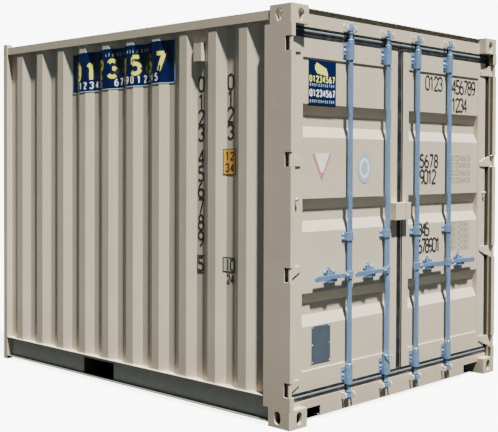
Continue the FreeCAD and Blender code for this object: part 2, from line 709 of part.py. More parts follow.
def door_panel():
    """The right door's sheet, pressed into level recesses between the stiles."""
    y = PANEL_Y
    deep = y + PANEL_RECESS_DEPTH
    points = [(y, PANEL_BOTTOM)]
    for i in range(PANEL_RECESSES):
        z = PANEL_BOTTOM + PANEL_FIRST_RECESS + i * PANEL_RECESS_PITCH
        points += [(y, z), (deep, z + PANEL_RECESS_SLOPE),
                   (deep, z + PANEL_RECESS_SLOPE + PANEL_RECESS_FLAT),
                   (y, z + 2 * PANEL_RECESS_SLOPE + PANEL_RECESS_FLAT)]
    points.append((y, PANEL_TOP))
    back = [(py + PANEL_SHEET, pz) for py, pz in reversed(points)]
    outline = [(PANEL_INNER_X, py, pz) for py, pz in points + back]
    return prism(outline, (PANEL_OUTER_X - PANEL_INNER_X, 0, 0))


def door_gasket():
    """The rubber seal round the right door, with a rounded front lip."""
    x0 = LOCK_BOX_SPLIT
    x1 = HALF_W - POST_JAMB - SEAL_CLEARANCE
    z0 = SILL_TOP + SEAL_CLEARANCE
    z1 = HEADER_BOTTOM - SEAL_CLEARANCE
    y0 = Y_FRONT + SEAL_FRONT
    y1 = Y_FRONT + SEAL_BACK
    upright = [lip_upright(x0, DOOR_CENTRE_GAP, z0, z1, y0, y1), lip_upright(DOOR_OUTER_X, x1, z0, z1, y0, y1)]
    level = [lip_level(z0, DOOR_BOTTOM, x0, x1, y0, y1), lip_level(DOOR_TOP, z1, x0, x1, y0, y1)]
    return join(upright + level)


def lip_profile(a, b, y0, y1, bulge):
    """A seal's section between two edges: flat at the back, an arc at the front."""
    middle = (a + b) / 2
    return [(a, y1), (a, y0), (middle, y0 - bulge), (b, y0), (b, y1)]


def lip_face(corners):
    """A face from five corners: three straight sides and an arc through the middle ones."""
    back_a, front_a, crown, front_b, back_b = corners
    edges = [Part.LineSegment(back_a, front_a).toShape(), Part.Arc(front_a, crown, front_b).toShape(),
             Part.LineSegment(front_b, back_b).toShape(), Part.LineSegment(back_b, back_a).toShape()]
    return Part.Face(Part.Wire(edges))


def lip_upright(x0, x1, z0, z1, y0, y1):
    """One upright side of the seal."""
    corners = [Vector(x, y, z0) for x, y in lip_profile(x0, x1, y0, y1, SEAL_BULGE_UPRIGHT)]
    return lip_face(corners).extrude(Vector(0, 0, z1 - z0))


def lip_level(z0, z1, x0, x1, y0, y1):
    """The seal's top or bottom side, which stands a little prouder than the upright ones."""
    corners = [Vector(x0, y, z) for z, y in lip_profile(z0, z1, y0, y1, SEAL_BULGE_LEVEL)]
    return lip_face(corners).extrude(Vector(x1 - x0, 0, 0))


# ---------------------------------------------------------------- lock rods and their gear
def rod_bracket(x, z1, on_panel, height, wing, plate_drop, plate_height):
    """A bearing on the door: a bolted plate that reaches to the left, and a cover round the rod."""
    face = PANEL_Y if on_panel else DOOR_Y
    z0 = z1 - height
    half = ROD_RADIUS + BRACKET_COVER_WALL
    plate_top = z1 - plate_drop
    plate = block(x - wing, x + half, face - BRACKET_PLATE, face, plate_top - plate_height, plate_top)
    neck = block(x - half, x + half, ROD_Y, face, z0, z1)
    round_front = cylinder(half, height, x, ROD_Y, z0)
    bore = cylinder(ROD_RADIUS + RUNNING_CLEARANCE, height + 2, x, ROD_Y, z0 - 1)
    return join([plate, neck, round_front]).cut(bore)


def door_brackets(side):
    """Top, middle and bottom bearings of one door's two rods; the plates all reach to the left."""
    brackets = []
    for reach in RODS.values():
        x = side * reach
        for top in (TOP_BRACKET_TOP, BOTTOM_BRACKET_TOP):
            brackets.append(rod_bracket(x, top, False, BRACKET_HEIGHT, BRACKET_WING,
                                        BRACKET_PLATE_DROP, BRACKET_PLATE_HEIGHT))
        clamp_top = CLAMP_CENTRE + CLAMP_HEIGHT / 2
        brackets.append(rod_bracket(x, clamp_top, True, CLAMP_HEIGHT, CLAMP_WING, 0, CLAMP_HEIGHT))
    return brackets


def cam(x, z0):
    """A cam on a rod's end: a hub with one nose that points away from the middle of the doors."""
    radius = STUB_RADIUS + CAM_HUB_WALL
    hub = cylinder(radius, CAM_HEIGHT, x, ROD_Y, z0)
    tip = x + CAM_REACH - CAM_NOSE
    nose = cylinder(CAM_NOSE, CAM_HEIGHT, tip, ROD_Y, z0)
    flank = radius - 3
    web = plan([(x, ROD_Y - flank), (tip, ROD_Y - CAM_NOSE), (tip, ROD_Y + CAM_NOSE), (x, ROD_Y + flank)],
               z0, z0 + CAM_HEIGHT)
    return join([hub, nose, web])


def lock_rod(reach):
    """A right-door lock rod: the pipe, its end stubs, collars and cams, and its handle's fork."""
    x = reach
    pipe_top = TOP_BRACKET_TOP + COLLAR_GAP
    pipe_bottom = BOTTOM_BRACKET_TOP - BRACKET_HEIGHT - COLLAR_GAP
    pipe = cylinder(ROD_RADIUS, pipe_top - pipe_bottom, x, ROD_Y, pipe_bottom)
    stubs = [cylinder(STUB_RADIUS, pipe_bottom - ROD_BOTTOM, x, ROD_Y, ROD_BOTTOM),
             cylinder(STUB_RADIUS, ROD_TOP - pipe_top, x, ROD_Y, pipe_top)]
    collars = [cylinder(ROD_RADIUS + COLLAR_WALL, COLLAR_HEIGHT, x, ROD_Y, z + COLLAR_GAP)
               for z in (TOP_BRACKET_TOP, BOTTOM_BRACKET_TOP)]
    ring_radius = STUB_RADIUS + CAM_HUB_WALL
    rings = [cylinder(ring_radius, CAM_RING_HEIGHT, x, ROD_Y, CAM_BOTTOM_Z + CAM_HEIGHT + CAM_RING_GAP),
             cylinder(ring_radius, CAM_RING_HEIGHT, x, ROD_Y, CAM_TOP_Z - CAM_RING_GAP - CAM_RING_HEIGHT)]
    cams = [cam(x, CAM_BOTTOM_Z), cam(x, CAM_TOP_Z)]
    body = join([pipe] + stubs + collars + rings + cams + [handle_fork(x)])
    bore = cylinder(ROD_RADIUS - ROD_WALL, pipe_top - pipe_bottom - 2 * ROD_WALL, x, ROD_Y,
                    pipe_bottom + ROD_WALL)
    vent = cylinder(ROD_VENT, ROD_RADIUS + 1, x, ROD_Y, CLAMP_CENTRE - CLAMP_HEIGHT, (0, 1, 0))
    return body.cut([bore, vent])


def handle_fork(x):
    """A sleeve on the rod with two ears, and the pin through them that the handle lifts on."""
    z0 = HANDLE_Z - HUB_HEIGHT / 2
    sleeve = cylinder(ROD_RADIUS + HUB_WALL, HUB_HEIGHT, x, ROD_Y, z0)
    inner = HANDLE_THICKNESS / 2 + HUB_GAP
    pivot = x + HANDLE_PIVOT
    pieces = [sleeve]
    for s in (-1, 1):
        y0 = HANDLE_Y + s * inner
        y1 = y0 + s * HUB_EAR
        pieces.append(block(x, pivot, y0, y1, HANDLE_Z - HUB_LOBE, HANDLE_Z + HUB_LOBE))
        pieces.append(cylinder(HUB_LOBE, HUB_EAR, pivot, min(y0, y1), HANDLE_Z, (0, 1, 0)))
    width = 2 * (inner + HUB_EAR)
    pieces.append(cylinder(HANDLE_PIN, width, pivot, HANDLE_Y - width / 2, HANDLE_Z, (0, 1, 0)))
    slot = block(x + ROD_RADIUS, pivot + HUB_LOBE + 1, HANDLE_Y - inner, HANDLE_Y + inner,
                 z0 - 1, z0 + HUB_HEIGHT + 1)
    pin = cylinder(HANDLE_PIN, 2 * inner, pivot, HANDLE_Y - inner, HANDLE_Z, (0, 1, 0))
    return join([join(pieces).cut(slot), pin])


def handle(reach):
    """A right-door handle: an eye on the pin, a flat bar and a deeper grip."""
    t = HANDLE_THICKNESS
    y0 = HANDLE_Y - t / 2
    pivot = reach + HANDLE_PIVOT
    tip = reach + HANDLE_LENGTH
    grip = tip - HANDLE_GRIP_LENGTH
    half = HANDLE_HEIGHT / 2
    deep = HANDLE_GRIP / 2
    eye = cylinder(HANDLE_EYE, t, pivot, y0, HANDLE_Z, (0, 1, 0))
    top = HANDLE_Z + half
    low = HANDLE_Z - half
    side_view = [(pivot, low), (grip, low), (grip + 12, top - 2 * deep), (tip - deep, top - 2 * deep),
                 (tip - deep, top), (pivot, top)]
    bar = prism([(x, y0, z) for x, z in side_view], (0, t, 0))
    end = cylinder(deep, t, tip - deep, y0, top - deep, (0, 1, 0))
    bore = cylinder(HANDLE_PIN + RUNNING_CLEARANCE, t + 2, pivot, y0 - 1, HANDLE_Z, (0, 1, 0))
    return join([eye, bar, end]).cut(bore)


def handle_catch(middle):
    """A shelf under the handle and a curved guard behind it, with a knob at the guard's left end.

    The catch is open in front, and it has the same hand on both doors.
    """
    half = CATCH_WIDTH / 2
    knob_x = middle - CATCH_KNOB_LEFT
    handle_low = HANDLE_Z - HANDLE_HEIGHT / 2
    shelf_top = handle_low - (HANDLE_GRIP - HANDLE_HEIGHT) - CATCH_CLEARANCE
    shelf_low = shelf_top - CATCH_SHELF
    shelf_front = HANDLE_Y - HANDLE_THICKNESS / 2
    guard_y = HANDLE_Y + HANDLE_THICKNESS / 2 + CATCH_CLEARANCE
    behind = PANEL_Y - CATCH_PLATE
    plate = block(middle - half, middle + half, behind, PANEL_Y,
                  HANDLE_Z - CATCH_HEIGHT / 2, HANDLE_Z + CATCH_HEIGHT / 2)
    shelf = block(knob_x - CATCH_SHELF_HALF, knob_x + CATCH_SHELF_HALF, shelf_front, behind,
                  shelf_low, shelf_top)
    web = block(middle - half + 8, middle + half - 8, guard_y, behind, shelf_low, handle_low)
    crest = HANDLE_HEIGHT / 2
    neck = CATCH_KNOB_TOP - 2 * CATCH_KNOB_RADIUS + 3
    side_view = [(knob_x - 14, shelf_low), (knob_x - 14, crest + 7), (knob_x - 8, crest + 25), (knob_x - 5, neck),
                 (knob_x + 5, neck), (knob_x + 12, crest + 23), (middle, crest + 12), (middle + 20, crest + 5),
                 (middle + half - 12, crest + 3), (middle + half, crest + 8), (middle + half, shelf_low)]
    guard = prism([(x, guard_y, z if z == shelf_low else HANDLE_Z + z) for x, z in side_view],
                  (0, CATCH_GUARD, 0))
    knob_z = HANDLE_Z + CATCH_KNOB_TOP - CATCH_KNOB_RADIUS
    knob = Part.makeSphere(CATCH_KNOB_RADIUS, Vector(knob_x, guard_y + CATCH_KNOB_RADIUS, knob_z))
    return join([plate, shelf, web, guard, knob])


def lock_box(width):
    """Half of the lock box on the right door: a front, a top and an outer side, open below."""
    x0 = LOCK_BOX_SPLIT
    x1 = width
    y0 = Y_FRONT + LOCK_BOX_FRONT
    z0 = LOCK_BOX_BOTTOM
    z1 = z0 + LOCK_BOX_HEIGHT
    t = LOCK_BOX_WALL
    shell = block(x0, x1, y0, DOOR_Y, z0, z1)
    inside = block(x0 - 1, x1 - t, y0 + t, DOOR_Y + 1, z0 - 1, z1 - t)
    return shell.cut(inside)


def data_plate():
    """A thin riveted plate low on the left door."""
    x1 = -PANEL_OUTER_X + DATA_PLATE_EDGE + DATA_PLATE_WIDTH
    return block(x1 - DATA_PLATE_WIDTH, x1, PANEL_Y - DATA_PLATE_THICKNESS, PANEL_Y, DATA_PLATE_BOTTOM,
                 DATA_PLATE_BOTTOM + DATA_PLATE_HEIGHT)


# ---------------------------------------------------------------- the whole container
def build_shell():
    keepers = [cam_keeper(side * reach, z) for side in SIDES.values() for reach in RODS.values()
               for z in (KEEPER_BOTTOM_Z, KEEPER_TOP_Z)]
    save("cam_keepers", keepers)
    save("door_header", [door_header()])
    save("door_sill", [door_sill()])
    save("roof_panel", [roof_panel()])
    save("end_wall", [end_wall()])
    save("end_top_rail", [end_rail(TOP_RAIL_BOTTOM, TOP_RAIL_TOP)])
    save("end_bottom_rail", [end_rail(BOTTOM_RAIL_BOTTOM, BOTTOM_RAIL_TOP)])
    save("cross_members", cross_members())
    save("floor_boards", floor_boards())
    save("forklift_pocket", [forklift_pocket()])
    for name, side in SIDES.items():
        save("door_post_" + name, [mirrored(door_post(), side)])
        save("hinge_lugs_" + name, [mirrored(lug, side) for lug in hinge_lugs()])
        save("side_wall_" + name, [mirrored(side_wall(), side)])
        save("side_vent_" + name, [mirrored(side_vent(), side)])
        save("top_rail_" + name, [mirrored(top_side_rail(), side)])
        save("bottom_rail_" + name, [mirrored(bottom_side_rail(), side)])
        save("end_post_" + name, [mirrored(end_post(), side)])


def build_doors():
    box_widths = {"left": LOCK_BOX_LEFT, "right": LOCK_BOX_RIGHT}
    save("data_plate", [data_plate()])
    for name, side in SIDES.items():
        door = name + "_door_"
        save(door + "frame", [mirrored(door_frame(), side)])
        save(door + "panel", [mirrored(door_panel(), side)])
        save(door + "gasket", [mirrored(door_gasket(), side)])
        save(door + "hinge_blades", [mirrored(blade, side) for blade in hinge_blades()])
        save(door + "rod_brackets", door_brackets(side))
        save(door + "handle_catches", [handle_catch(side * (reach + CATCH_REACH)) for reach in RODS.values()])
        save(door + "lock_box", [mirrored(lock_box(box_widths[name]), side)])
        for place, reach in RODS.items():
            save(door + place + "_rod", [mirrored(lock_rod(reach), side)])
            save(door + place + "_handle", [mirrored(handle(reach), side)])


def main():
    os.makedirs("parts", exist_ok=True)
    build_castings()
    build_shell()
    build_doors()


main()
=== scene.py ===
"""Looks for a ten-foot steel container: paint, galvanised gear, fixings, welds, signs and numbers."""

import json
import math

import bpy
import numpy as np
from mathutils import Matrix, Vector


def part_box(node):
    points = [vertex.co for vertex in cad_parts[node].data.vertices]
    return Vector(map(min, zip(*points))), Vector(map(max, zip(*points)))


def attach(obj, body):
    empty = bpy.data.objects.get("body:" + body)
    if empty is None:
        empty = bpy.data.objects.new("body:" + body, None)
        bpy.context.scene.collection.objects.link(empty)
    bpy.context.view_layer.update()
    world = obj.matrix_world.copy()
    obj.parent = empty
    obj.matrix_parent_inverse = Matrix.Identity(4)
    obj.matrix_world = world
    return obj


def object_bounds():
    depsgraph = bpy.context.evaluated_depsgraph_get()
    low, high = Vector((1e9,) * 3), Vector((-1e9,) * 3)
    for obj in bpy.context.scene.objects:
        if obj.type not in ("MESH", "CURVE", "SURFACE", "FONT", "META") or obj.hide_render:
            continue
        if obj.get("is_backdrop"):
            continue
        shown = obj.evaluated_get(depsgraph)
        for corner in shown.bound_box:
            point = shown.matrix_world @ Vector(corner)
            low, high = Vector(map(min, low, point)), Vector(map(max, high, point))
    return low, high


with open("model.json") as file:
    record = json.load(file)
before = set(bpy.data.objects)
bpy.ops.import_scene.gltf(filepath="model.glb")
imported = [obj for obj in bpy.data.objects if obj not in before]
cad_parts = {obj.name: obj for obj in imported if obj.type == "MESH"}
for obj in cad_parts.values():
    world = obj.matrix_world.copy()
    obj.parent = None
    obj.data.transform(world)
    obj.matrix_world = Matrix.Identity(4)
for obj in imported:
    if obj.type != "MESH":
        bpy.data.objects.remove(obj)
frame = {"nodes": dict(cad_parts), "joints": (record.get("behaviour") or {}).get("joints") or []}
CAD_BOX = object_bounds()
LOW, HIGH = (np.array(corner) for corner in CAD_BOX)
NODES = frame["nodes"]
JOINTS = {joint["name"]: joint for joint in frame["joints"]}
SIDES = {"left": -1, "right": 1}
PLACES = ("outer", "inner")
LIFT = 0.0012
PRINT_THICKNESS = 0.0005
STROKE_STEP = 0.00007
ON_SHELL = ("root", "beige_paint")
SHELL_FILM = ("root", "plate_metal")
LEFT_FILM = ("left_door", "plate_metal")
RIGHT_PAINT = ("right_door", "beige_paint")


# ------------------------------------------------------------------ places read from the frame
def corners(node):
    """The low and high corners of a CAD node, as arrays."""
    low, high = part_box(node)
    return np.array(low), np.array(high)


def joint_at(name):
    """Where a joint's axis is."""
    return np.array(JOINTS[name]["pos_m"], float)


def section(node, along, across, outward):
    """A folded sheet's outer profile: the outermost `across` at each place `along` where it bends.

    Points with equal `along` are grouped, and each group keeps its extreme value in the outward sense.
    """
    mesh = NODES[node].data
    co = np.empty(len(mesh.vertices) * 3)
    mesh.vertices.foreach_get("co", co)
    co = co.reshape(-1, 3)
    keys = np.round(co[:, along], 4)
    places = np.unique(keys)
    reach = np.array([(co[keys == k, across] * outward).max() for k in places])
    return places, reach * outward


WALL_Y, WALL_X = section("side_wall_left", 1, 0, -1)
PANEL_Z, PANEL_Y = section("left_door_panel", 2, 1, -1)
DOOR_Y = corners("left_door_frame")[0][1]


# ------------------------------------------------------------------ meshes
def finish_mesh(name, verts, faces, material, body, slot, smooth=True):
    """An object from arrays of corners and faces, riding on a body."""
    mesh = bpy.data.meshes.new(name)
    if isinstance(faces, np.ndarray):
        faces = faces.tolist()
    mesh.from_pydata(np.asarray(verts).reshape(-1, 3).tolist(), [], faces)
    mesh.validate()
    mesh.polygons.foreach_set("use_smooth", np.full(len(mesh.polygons), smooth))
    mesh.materials.append(material)
    made = bpy.data.objects.new(name, mesh)
    bpy.context.scene.collection.objects.link(made)
    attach(made, body)
    return made


def grid_faces(rows, columns, close_columns=False, start=0):
    """Four-cornered faces over a grid of points, row by row; the columns may close into a loop."""
    r = np.arange(rows - 1)[:, None]
    c = np.arange(columns if close_columns else columns - 1)[None, :]
    n = (c + 1) % columns
    a = r * columns + c
    b = r * columns + n
    return np.stack([a, b, b + columns, a + columns], -1).reshape(-1, 4) + start


def repeat(verts, faces, copies):
    """Stacks `copies` arrays of corners that share one face list, and numbers each copy's faces on."""
    step = np.arange(copies)[:, None, None] * verts.shape[1]
    return verts.reshape(-1, 3), (faces[None] + step).reshape(-1, faces.shape[1])


def frames_along(path):
    """Unit tangent, side and rise vectors along a path: the side is square to the axis it least follows."""
    path = np.asarray(path, float)
    tangent = np.gradient(path, axis=0)
    tangent /= np.linalg.norm(tangent, axis=1)[:, None]
    pole = np.eye(3)[np.abs(tangent).mean(axis=0).argmin()]
    side = np.cross(tangent, pole)
    side /= np.linalg.norm(side, axis=1)[:, None]
    return tangent, side, np.cross(side, tangent)


def resample(points, step):
    """The same line with a point about every step, spaced evenly along its length."""
    points = np.asarray(points, float)
    run = np.r_[0, np.cumsum(np.linalg.norm(np.diff(points, axis=0), axis=1))]
    at = np.linspace(0, run[-1], max(3, int(run[-1] / step)))
    return np.stack([np.interp(at, run, points[:, k]) for k in range(3)], 1)


def tube_arrays(path, radius, sides=8, start=0):
    """A round bar: circle points radius*(cos, sin) on each path frame, with both ends drawn to a point."""
    _, side, rise = frames_along(path)
    path = np.asarray(path, float)
    turn = np.linspace(0, 2 * math.pi, sides, endpoint=False)
    radius = np.broadcast_to(np.asarray(radius, float), (len(path),)).copy()
    radius[[0, -1]] *= 0.3
    ring = (path[:, None] + radius[:, None, None]
            * (np.cos(turn)[None, :, None] * side[:, None] + np.sin(turn)[None, :, None] * rise[:, None]))
    verts = np.concatenate([ring.reshape(-1, 3), path[[0, -1]]])
    body = grid_faces(len(path), sides, True, start)
    loop = np.arange(sides)
    after = (loop + 1) % sides
    low, high = len(path) * sides, len(path) * sides + 1
    last = (len(path) - 1) * sides
    first_cap = np.stack([after, loop, np.full(sides, low)], 1) + start
    last_cap = np.stack([last + loop, last + after, np.full(sides, high)], 1) + start
    return verts, body, np.concatenate([first_cap, last_cap])


def tubes(name, lines, radius, material, body, slot, step=0.006, ripple=0.0, pitch=0.007, sides=8):
    """Round beads along several lines, in one piece.

    A bead's radius is radius * (1 + ripple * sin(2 pi s / pitch)), with s the distance along it.
    """
    verts, faces, start = [], [], 0
    for line in lines:
        path = resample(line, step)
        s = np.arange(len(path)) * step
        v, quads, caps = tube_arrays(path, radius * (1 + ripple * np.sin(2 * math.pi * s / pitch)),
                                     sides, start)
        verts.append(v)
        faces += quads.tolist() + caps.tolist()
        start += len(v)
    return finish_mesh(name, np.concatenate(verts), faces, material, body, slot)


def turned(name, centres, axis, profile, material, body, slot="galvanised", sides=24, flats=0, flat_rows=()):
    """Turned pieces, such as bolts: radius r(v) at height h(v) about an axis, for each centre.

    On the rows in flat_rows the radius is that of a regular polygon with `flats` sides:
    r * cos(pi / flats) / cos((turn mod 2 pi / flats) - pi / flats).
    """
    axis = np.asarray(axis, float)
    other = np.array([0.0, 0.0, 1.0]) if abs(axis[2]) < 0.9 else np.array([0.0, 1.0, 0.0])
    u = np.cross(other, axis)
    u /= np.linalg.norm(u)
    w = np.cross(axis, u)
    turn = np.linspace(0, 2 * math.pi, sides, endpoint=False)
    radius = np.repeat(np.array([p[0] for p in profile])[:, None], sides, 1)
    height = np.array([p[1] for p in profile])
    if flats:
        wedge = math.pi / flats
        factor = math.cos(wedge) / np.cos(np.mod(turn, 2 * wedge) - wedge)
        for row in flat_rows:
            radius[row] *= factor
    one = (radius[..., None] * (np.cos(turn)[None, :, None] * u + np.sin(turn)[None, :, None] * w)
           + height[:, None, None] * axis)
    centres = np.asarray(centres, float).reshape(-1, 3)
    verts = (centres[:, None, None] + one[None]).reshape(len(centres), -1, 3)
    faces = grid_faces(len(profile), sides, True)
    flat, numbered = repeat(verts, faces, len(centres))
    return finish_mesh(name, flat, numbered, material, body, slot, smooth=not flats)


def span(a, b, step=0.008):
    """Evenly spaced values from a to b."""
    return np.linspace(a, b, max(2, int(abs(b - a) / step)))


def sheet_on(name, place, a, b, material, body, slot, lift=LIFT, thickness=0.0006):
    """A thin sheet laid on a surface: the grid of a by b is carried onto it by `place`, then thickened."""
    grid_a, grid_b = np.meshgrid(a, b, indexing="ij")
    verts = place(grid_a.ravel(), grid_b.ravel(), lift)
    made = finish_mesh(name, verts, grid_faces(len(a), len(b)), material, body, slot, smooth=False)
    point_outwards(made, place, a, b)
    solid = made.modifiers.new("thickness", "SOLIDIFY")
    solid.thickness = thickness
    solid.offset = 1.0
    return made


def point_outwards(made, place, a, b):
    """Turns a sheet's faces over where they face into the surface they lie on."""
    middle_a, middle_b = (a[0] + a[-1]) / 2, (b[0] + b[-1]) / 2
    near = place(np.array([middle_a]), np.array([middle_b]), 0.0)[0]
    far = place(np.array([middle_a]), np.array([middle_b]), 0.01)[0]
    out = far - near
    normals = np.empty(len(made.data.polygons) * 3)
    made.data.polygons.foreach_get("normal", normals)
    if (normals.reshape(-1, 3) @ out).mean() < 0:
        made.data.flip_normals()


# ------------------------------------------------------------------ surfaces that signs lie on
def on_left_wall(s, z, lift=LIFT):
    """The left wall's outer face: s runs from the door end backwards, and x follows the folded section."""
    y = LOW[1] + s
    return np.stack([np.interp(y, WALL_Y, WALL_X) - lift, y, z], -1)


def on_door(x, z, lift=LIFT):
    """A door panel's face: y follows the pressed recesses."""
    return np.stack([x, np.interp(z, PANEL_Z, PANEL_Y) - lift, z], -1)


# ------------------------------------------------------------------ plain numbers made of strokes
def arc(cx, cz, rx, rz, start, stop):
    """Points on an ellipse: (cx + rx cos t, cz + rz sin t), with t from start to stop in degrees."""
    t = np.radians(np.linspace(start, stop, 17))
    return np.stack([cx + rx * np.cos(t), cz + rz * np.sin(t)], 1)


def line(*points):
    """Straight strokes through the points, with in-between points so that they can follow folds."""
    points = np.array(points, float)
    run = np.r_[0, np.cumsum(np.linalg.norm(np.diff(points, axis=0), axis=1))]
    at = np.linspace(0, run[-1], 12)
    return np.stack([np.interp(at, run, points[:, k]) for k in range(2)], 1)


DIGITS = {
    "0": [arc(0.25, 0.72, 0.25, 0.28, 0, 180), line((0, 0.72), (0, 0.28)),
          arc(0.25, 0.28, 0.25, 0.28, 180, 360), line((0.5, 0.28), (0.5, 0.72))],
    "1": [line((0.27, 0), (0.27, 1)), line((0.27, 1), (0.08, 0.8))],
    "2": [arc(0.25, 0.73, 0.25, 0.27, 170, -35), line((0.455, 0.575), (0.0, 0.0)), line((0, 0), (0.5, 0))],
    "3": [arc(0.24, 0.75, 0.25, 0.25, 160, -90), arc(0.24, 0.26, 0.26, 0.26, 90, -160)],
    "4": [line((0.38, 0), (0.38, 1)), line((0.38, 1), (0, 0.3)), line((0, 0.3), (0.52, 0.3))],
    "5": [line((0.46, 1), (0.06, 1)), line((0.06, 1), (0.04, 0.55)), arc(0.22, 0.3, 0.28, 0.3, 125, -145)],
    "6": [arc(0.25, 0.28, 0.25, 0.28, 0, 360), arc(0.42, 0.32, 0.42, 0.68, 180, 100)],
    "7": [line((0.02, 1), (0.5, 1)), line((0.5, 1), (0.16, 0))],
    "8": [arc(0.25, 0.76, 0.21, 0.24, 0, 360), arc(0.25, 0.27, 0.25, 0.27, 0, 360)],
    "9": [arc(0.25, 0.72, 0.25, 0.28, 0, 360), arc(0.08, 0.68, 0.42, 0.68, 0, -80)],
}


def numbers(name, place, items, material, body, slot, lift=LIFT, flip=1):
    """Plain numbers, each stroke a ribbon of even width along its path, carried onto a surface.

    An item is (figures, left, foot, height, stroke, advance), where each next figure moves on by
    advance. flip is -1 where the surface's first measure runs leftwards. Strokes lie at five lifts
    in turn, so that no two that cross share a plane.
    """
    verts, faces, start = [], [], 0
    for figures, left, foot, height, stroke, advance in items:
        for count, figure in enumerate(figures):
            for path in DIGITS[figure]:
                tangent = np.gradient(path, axis=0)
                tangent /= np.linalg.norm(tangent, axis=1)[:, None]
                across = np.stack([-tangent[:, 1], tangent[:, 0]], 1) * stroke / height / 2
                rail = np.stack([path - across, path + across], 1) * height
                a = left + flip * (rail[..., 0] + count * advance)
                b = foot + rail[..., 1]
                verts.append(place(a.ravel(), b.ravel(), lift + STROKE_STEP * (len(verts) % 5)))
                faces.append(grid_faces(len(path), 2, start=start)[:, ::flip])
                start += 2 * len(path)
    made = finish_mesh(name, np.concatenate(verts), np.concatenate(faces), material, body, slot, False)
    solid = made.modifiers.new("thickness", "SOLIDIFY")
    solid.thickness = PRINT_THICKNESS
    solid.offset = 0.0
    return made


# ------------------------------------------------------------------ node helpers and shared effects
NUMBER, VECTOR, COLOUR = "NodeSocketFloat", "NodeSocketVector", "NodeSocketColor"


def feed(tree, made, inputs):
    """Sets each of a node's inputs to a value or joins it to a socket, and gives the outputs."""
    for key, value in inputs.items():
        if isinstance(value, bpy.types.NodeSocket):
            tree.links.new(value, made.inputs[key])
        else:
            made.inputs[key].default_value = value
    return made.outputs


def add(tree, kind, inputs=None, **settings):
    """A node with its settings and inputs."""
    made = tree.nodes.new(kind)
    for key, value in settings.items():
        setattr(made, key, value)
    feed(tree, made, inputs or {})
    return made


def maths(tree, operation, a, b=0.0):
    """One Math node's result."""
    return add(tree, "ShaderNodeMath", {0: a, 1: b}, operation=operation).outputs[0]


def times(tree, a, b):
    """a * b."""
    return maths(tree, "MULTIPLY", a, b)


def plus(tree, a, b):
    """a + b."""
    return maths(tree, "ADD", a, b)


def minus(tree, a, b):
    """a - b."""
    return maths(tree, "SUBTRACT", a, b)


def size_of(tree, a):
    """|a|."""
    return maths(tree, "ABSOLUTE", a)


def axis_of(tree, vector, axis):
    """One axis of a vector: "X", "Y" or "Z"."""
    return add(tree, "ShaderNodeSeparateXYZ", {0: vector}).outputs[axis]


def facing(tree, axis):
    """How far a face looks along one axis, from -1 to 1."""
    return axis_of(tree, add(tree, "ShaderNodeNewGeometry").outputs["Normal"], axis)


def mixed(tree, factor, a, b, blend="MIX"):
    """Two colours blended by a factor."""
    made = add(tree, "ShaderNodeMix", data_type="RGBA", blend_type=blend)
    return feed(tree, made, {0: factor, 6: a, 7: b})[2]


def ranged(tree, value, low, high, to_low=0.0, to_high=1.0):
    """A value carried from one range to another, held at its ends."""
    return add(tree, "ShaderNodeMapRange", {0: value, 1: low, 2: high, 3: to_low, 4: to_high}).outputs[0]


def stretched(tree, vector, scale):
    """A vector scaled on each axis."""
    return add(tree, "ShaderNodeVectorMath", {0: vector, 1: scale}, operation="MULTIPLY").outputs[0]


def noise(tree, vector, scale, detail=4.0, rough=0.55):
    """Fractal noise, from 0 to 1."""
    inputs = {"Vector": vector, "Scale": scale, "Detail": detail, "Roughness": rough}
    return add(tree, "ShaderNodeTexNoise", inputs).outputs["Fac"]


def shared_group(name, inputs, outputs):
    """A new shader group whose inputs and outputs are named, each with its kind or its start value."""
    tree = bpy.data.node_groups.new(name, "ShaderNodeTree")
    for label, start in inputs.items():
        kind = start if isinstance(start, str) else NUMBER
        socket = tree.interface.new_socket(label, in_out="INPUT", socket_type=kind)
        if kind is not start:
            socket.default_value = start
    for label, kind in outputs.items():
        tree.interface.new_socket(label, in_out="OUTPUT", socket_type=kind)
    return tree, tree.nodes.new("NodeGroupInput").outputs, tree.nodes.new("NodeGroupOutput").inputs


def make_edge_wear():
    """Edge wear: how far the rounded normal leans from the flat one, broken up by noise."""
    tree, given, out = shared_group(
        "edge wear", {"Vector": VECTOR, "Radius": 0.004, "Scale": 40.0, "Amount": 0.5},
        {"Mask": NUMBER, "Rounded": VECTOR})
    rounded = add(tree, "ShaderNodeBevel", {"Radius": given["Radius"]}, samples=6).outputs[0]
    flat = add(tree, "ShaderNodeNewGeometry").outputs["Normal"]
    lean = add(tree, "ShaderNodeVectorMath", {0: rounded, 1: flat}, operation="DOT_PRODUCT").outputs["Value"]
    edge = ranged(tree, lean, 0.99, 0.86)
    patchy = noise(tree, given["Vector"], given["Scale"], 5.0, 0.65)
    keep = ranged(tree, plus(tree, patchy, times(tree, given["Amount"], 0.3)), 0.58, 0.7)
    tree.links.new(times(tree, edge, keep), out["Mask"])
    tree.links.new(rounded, out["Rounded"])
    return tree


def make_rain_streaks():
    """Rain streaks: noise drawn out downwards, kept only where a broad noise allows it."""
    tree, given, out = shared_group("rain streaks", {"Vector": VECTOR, "Scale": 30.0}, {"Mask": NUMBER})
    drawn = stretched(tree, given["Vector"], (1.0, 1.0, 0.05))
    fine = ranged(tree, noise(tree, drawn, given["Scale"], 5.0, 0.6), 0.5, 0.72)
    broad = ranged(tree, noise(tree, given["Vector"], 1.7, 2.0), 0.42, 0.62)
    tree.links.new(times(tree, fine, broad), out["Mask"])
    return tree


